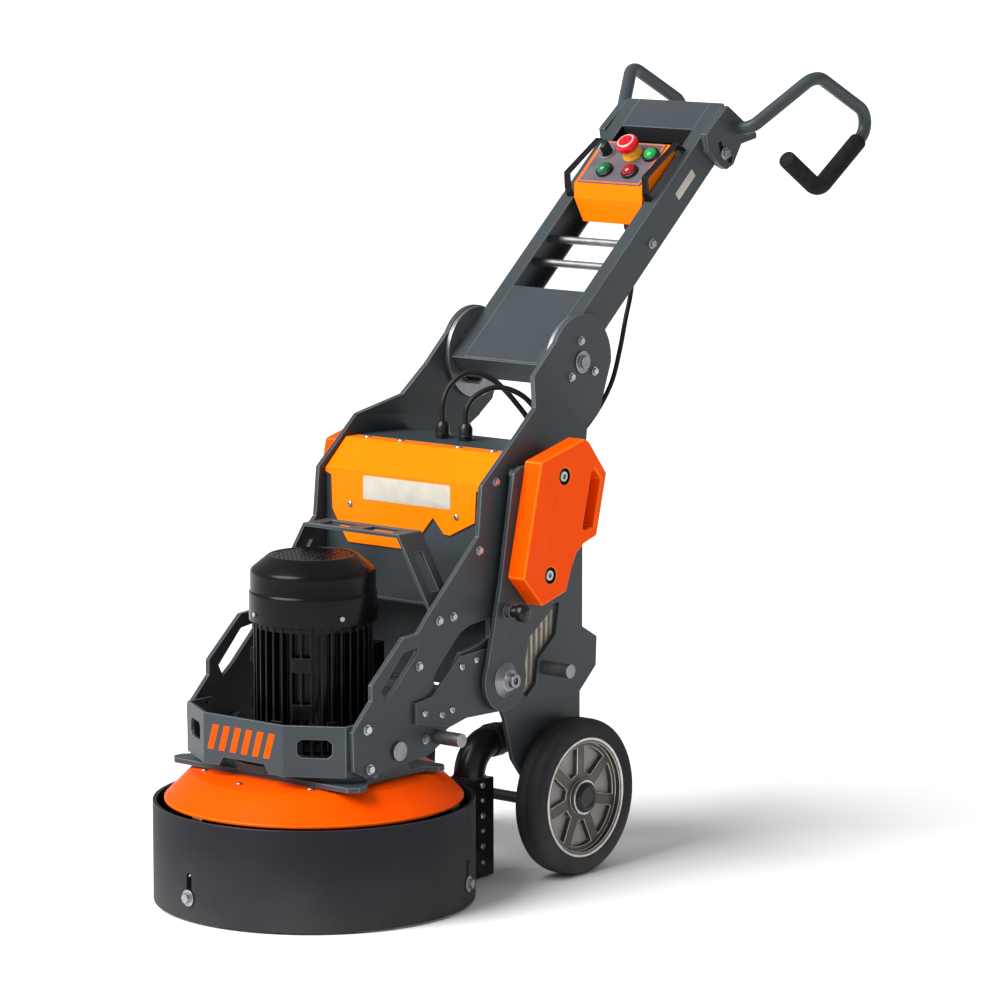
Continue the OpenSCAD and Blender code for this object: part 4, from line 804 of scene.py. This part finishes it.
# ---- handlebars ----
bars = {
    "corners": [(108, 935, 1148), (136, 936, 1148), (194, 1040, 1234), (194, 1212, 1150),
                (194, 1048, 1043), (194, 962, 1097)],
    "bends": [0, 26, 36, 30, 30, 0], "radius": 11, "plateFace": 0.11245, "gripRadius": 15,
    "gripStart": 58, "gripPast": 5, "gripBend": 30,
    # how far in from the foam's end each ring of its shoulder stands, and how much it shrinks
    "shoulderPlaces": (0, 0.8, 2.2, 4.5), "shoulderDrops": (3.2, 1.5, 0.4, 0),
}


def mirrored(points, side):
    return [at(side * p[0], p[1], p[2]) for p in points]


for side, word in ((-1, "left"), (1, "right")):
    title = word.capitalize()
    body = "handlebar_" + word
    tube = mirrored(bentPath(bars["corners"], bars["bends"]), side)
    bar = pieceFrom(sweep(tube, [bars["radius"] / 1000] * len(tube), 32), "handlebarTube" + title,
                    Matrix.Identity(4), "slate")
    settle(bar, body, "slate_paint", body)
    # the CAD bar's plate is what is left of it inside the plate's outer face
    plate = weldedCopy(body)
    bmesh.ops.bisect_plane(plate, geom=plate.verts[:] + plate.edges[:] + plate.faces[:],
                           plane_co=(side * bars["plateFace"], 0, 0), plane_no=(side, 0, 0),
                           clear_outer=True)
    bmesh.ops.holes_fill(plate, edges=[e for e in plate.edges if e.is_boundary], sides=0)
    settle(bevelledPiece(plate, "handlebarPlate" + title, 0.7, 2, "slate", "slateEdge"), body,
           "slate_paint")
    start, corner, tip = (Vector(bars["corners"][i]) for i in (3, 4, 5))
    first = start + (corner - start).normalized() * bars["gripStart"]
    last = tip + (tip - corner).normalized() * bars["gripPast"]
    route = bentPath([first, corner, last], [0, bars["gripBend"], 0], 16)
    # close rings near both ends round the foam's shoulders
    places = bars["shoulderPlaces"]
    ringsIn = [first + (route[1] - first).normalized() * d for d in places]
    ringsOut = [last + (route[-2] - last).normalized() * d for d in reversed(places)]
    path = mirrored(ringsIn + route[1:-1] + ringsOut, side)
    shoulder = [bars["gripRadius"] - d for d in bars["shoulderDrops"]]
    middle = [bars["gripRadius"]] * (len(path) - 2 * len(shoulder))
    radii = [r / 1000 for r in shoulder + middle + shoulder[::-1]]
    foam = pieceFrom(sweep(path, radii, 32), "grip" + title, Matrix.Identity(4), "foam", angle=60)
    settle(foam, body, "foam_grip", "grip_" + word)
print("handlebars done")

# ---- weights' recessed bolts and lock knobs ----
weightParts = {
    "bolts": [(340, 643), (305, 491)], "recess": 216.4, "boltRadius": 0.0085, "boltHeight": 0.0065,
    "cup": [(9.4, 0.05), (12.8, 0.05), (12.8, 7.4), (12.1, 7.4), (12.1, 1.2), (9.4, 1.2)],
    # the knob's stem starts on the inner face of the arm
    "knobPlace": (182.4, 240, 440),
    "knob": [(0, 0), (6, 0), (6, 12.4), (9, 12.4), (9, 30), (8.4, 31), (13, 32), (14, 33.2),
             (14, 42.8), (13.2, 44.6), (11, 46.6), (8, 48.6), (4, 49), (0, 49)],
}
for side, word in ((-1, "left"), (1, "right")):
    title = word.capitalize()
    body = "weight_" + word
    recess = side * weightParts["recess"]
    spots = [(at(recess, y, z), (side, 0, 0), weightParts["boltRadius"], weightParts["boltHeight"])
             for y, z in weightParts["bolts"]]
    fasten("weightBolts" + title, "capHead", spots, body, "zinc", "zinc")
    for i, (y, z) in enumerate(weightParts["bolts"]):
        cup = pieceFrom(lathe(weightParts["cup"], 48, loop=True),
                        "weightCup" + title + str(i + 1), alongX(recess, y, z, side), "plastic")
        settle(cup, body, "black_plastic")
    x, y, z = weightParts["knobPlace"]
    knob = pieceFrom(lathe(weightParts["knob"], 48), "lockKnob" + title,
                     alongX(side * x, y, z, side), "plastic")
    settle(knob, "lock_knob_" + word, "black_plastic", "lock_knob_" + word)
print("weights done")

# ---- controls ----
controls = {
    # distances along the handle, and heights square to it
    "along": 382, "panel": 62, "top": 64,
    "start": (-22, 361), "stop": (30, 361), "dial": (-42, 402), "mushroom": (12, 402),
    "lamp": (50, 402), "buttonLift": 3.0, "lampLift": 1.0, "lensFoot": -4,
    "lensDome": [(0, 11.4), (3, 11.2), (6, 10.4), (9, 8.8), (11, 6.6), (11.9, 4), (12, 0)],
    "bezel": [(12.2, 0), (15, 0), (15, 4.6), (14.4, 5.8), (13, 6.2), (12.2, 5.6)],
    "collar": [(8.2, 0), (17.4, 0), (17.4, 3), (16, 5), (14.4, 12), (13.4, 13.8), (8.2, 13.8)],
    "mushroomCap": [(0, -10), (8, -10), (8, 19.4), (17.6, 19.4), (19, 20.4), (19, 27.4), (18, 30),
                    (15.6, 32), (12, 33), (6, 33.4), (0, 33.4)],
    # a thin cream ring on the mushroom cap's shoulder: a painted highlight
    "capHighlightRing": [(12.2, 32.4), (14.6, 31.9), (14.8, 32.35), (12.4, 33.05)],
    "dialRing": [(8.2, 0), (14, 0), (14, 2), (13.2, 3), (8.2, 3)],
    "dialKnob": [(0, -10), (8, -10), (8, 3.4), (11, 3.4), (11.2, 6), (10.4, 20), (9.4, 22.6),
                 (8, 23.4), (0, 23.4)],
    "pointer": {"outline": (2.2, 11, 0.9), "height": 15.6, "back": 6.9, "up": 8},
}
panelTop = controls["top"]


def panelSheet(name, finish, outline, level, depth, bevel=0.0):
    # a sheet on the control box, from its width, length and corner radius
    return pieceFrom(plateShape(roundedOutline(*outline), depth, bevel), name,
                     onHandle(0, controls["along"], level), finish)


def panelTurned(name, finish, place, profile, steps, loop=False):
    # a turned part of the panel at one of its named places
    return pieceFrom(lathe(profile, steps, loop), name, onHandle(*controls[place], panelTop),
                     finish)


plate = panelSheet("panelPlate", "panel", (131, 97, 3), controls["panel"], 2, 0.4)
settle(plate, "handle", "panel_grey", "control_panel")
face = panelSheet("panelFace", "panel", (123.6, 89.6, 1.8), panelTop, 0.5)
settle(face, "handle", "panel_grey")
# the border takes the lighter orange of the painted edge highlight
border = panelSheet("panelBorder", "orangeEdge", (127, 93, 2.5), panelTop, 0.35)
settle(border, "handle", "orange_paint")

lenses = {"start": ("green", "start_button", "green_plastic", controls["buttonLift"]),
          "stop": ("darkRed", "stop_button", "dark_red_plastic", controls["buttonLift"]),
          "lamp": ("lampGreen", "pilot_lamp", "lamp_green", controls["lampLift"])}
for name, (finish, node, slot, lift) in lenses.items():
    dome = [(radius, level + lift) for radius, level in controls["lensDome"]]
    foot = controls["lensFoot"]
    lens = panelTurned(name + "Lens", finish, name, dome + [(12, foot), (0, foot)], 48)
    settle(lens, frame["nodes"][node]["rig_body"], slot, node)
    bezel = panelTurned(name + "Bezel", "plastic", name, controls["bezel"], 48, loop=True)
    settle(bezel, "handle", "black_plastic")

collar = panelTurned("stopCollar", "yellow", "mushroom", controls["collar"], 64, loop=True)
settle(collar, "handle", "panel_grey")
mushroom = panelTurned("stopMushroom", "red", "mushroom", controls["mushroomCap"], 64)
settle(mushroom, "stop_mushroom", "red_plastic", "stop_mushroom")
# the cream ring on the cap's shoulder is a painted highlight
capHighlightRing = panelTurned("stopRingMark", "cream", "mushroom", controls["capHighlightRing"], 64, loop=True)
settle(capHighlightRing, "stop_mushroom", "red_plastic")

dialRing = panelTurned("dialRing", "zinc", "dial", controls["dialRing"], 64, loop=True)
settle(dialRing, "handle", "zinc")
dial = panelTurned("speedDial", "plastic", "dial", controls["dialKnob"], 64)
settle(dial, "speed_dial", "black_plastic", "speed_dial")
pointer = controls["pointer"]
x, u = controls["dial"]
pointerPiece = pieceFrom(plateShape(roundedOutline(*pointer["outline"]), pointer["height"], 0.4),
                         "dialPointer", onHandle(x, u - pointer["back"], panelTop + pointer["up"]),
                         "cream")
settle(pointerPiece, "speed_dial", "black_plastic")
print("controls done")

# ---- blank plates and bars in place of lettering ----
toFront = Matrix.Rotation(math.pi / 2, 4, "X")
coverPlate = {"place": (8, 211.9, 612), "outline": (180, 38, 4), "depth": 0.5, "bevel": 0.2}
plate = plateShape(roundedOutline(*coverPlate["outline"]), coverPlate["depth"], coverPlate["bevel"])
settle(pieceFrom(plate, "coverPlate", placeAt(*coverPlate["place"]) @ toFront, "cream"),
       "chassis", "panel_grey")
railPlate = {"place": (100, 392, 12), "outline": (58, 15, 2), "depth": 0.4, "bevel": 0.15}
toSide = Matrix.Rotation(math.pi / 2, 4, "Y") @ Matrix.Rotation(math.pi / 2, 4, "Z")
plate = plateShape(roundedOutline(*railPlate["outline"]), railPlate["depth"], railPlate["bevel"])
settle(pieceFrom(plate, "railPlate", onHandle(*railPlate["place"]) @ toSide, "cream"),
       "handle", "panel_grey")
guardBars = {"height": 39, "width": 12, "lean": 12, "low": 252, "face": -161, "depth": 0.3,
             "starts": (-74, -51, -28, -5, 18, 41)}
for i, start in enumerate(guardBars["starts"]):
    w, h, lean = guardBars["width"], guardBars["height"], guardBars["lean"]
    outline = [(0, 0), (w, 0), (w + lean, h), (lean, h)]
    bar = pieceFrom(plateShape(outline, guardBars["depth"]), "guardBar" + str(i + 1),
                    placeAt(start, guardBars["face"], guardBars["low"]) @ toFront, "orange")
    settle(bar, "chassis", "orange_paint")

# ---- stage and light ----
stage = {"half": 60, "sky": 0.42, "sunEnergy": 5.0, "sunAngle": 44, "sunFrom": (-0.27, -0.70, 0.66)}
half = stage["half"]
ground = bpy.data.meshes.new("ground")
ground.from_pydata([(-half, -half, 0), (half, -half, 0), (half, half, 0), (-half, half, 0)], [],
                   [(0, 1, 2, 3)])
finishPiece("ground", ground, "floor")

world = bpy.data.worlds.new("studio")
world.use_nodes = True
world.node_tree.nodes["Background"].inputs["Color"].default_value = (1, 1, 1, 1)
world.node_tree.nodes["Background"].inputs["Strength"].default_value = stage["sky"]
scene.world = world
key = bpy.data.objects.new("key", bpy.data.lights.new("key", "SUN"))
scene.collection.objects.link(key)
key.data.energy = stage["sunEnergy"]
key.data.angle = math.radians(stage["sunAngle"])
key.rotation_euler = Vector(stage["sunFrom"]).to_track_quat("Z", "Y").to_euler()
print("stage done")
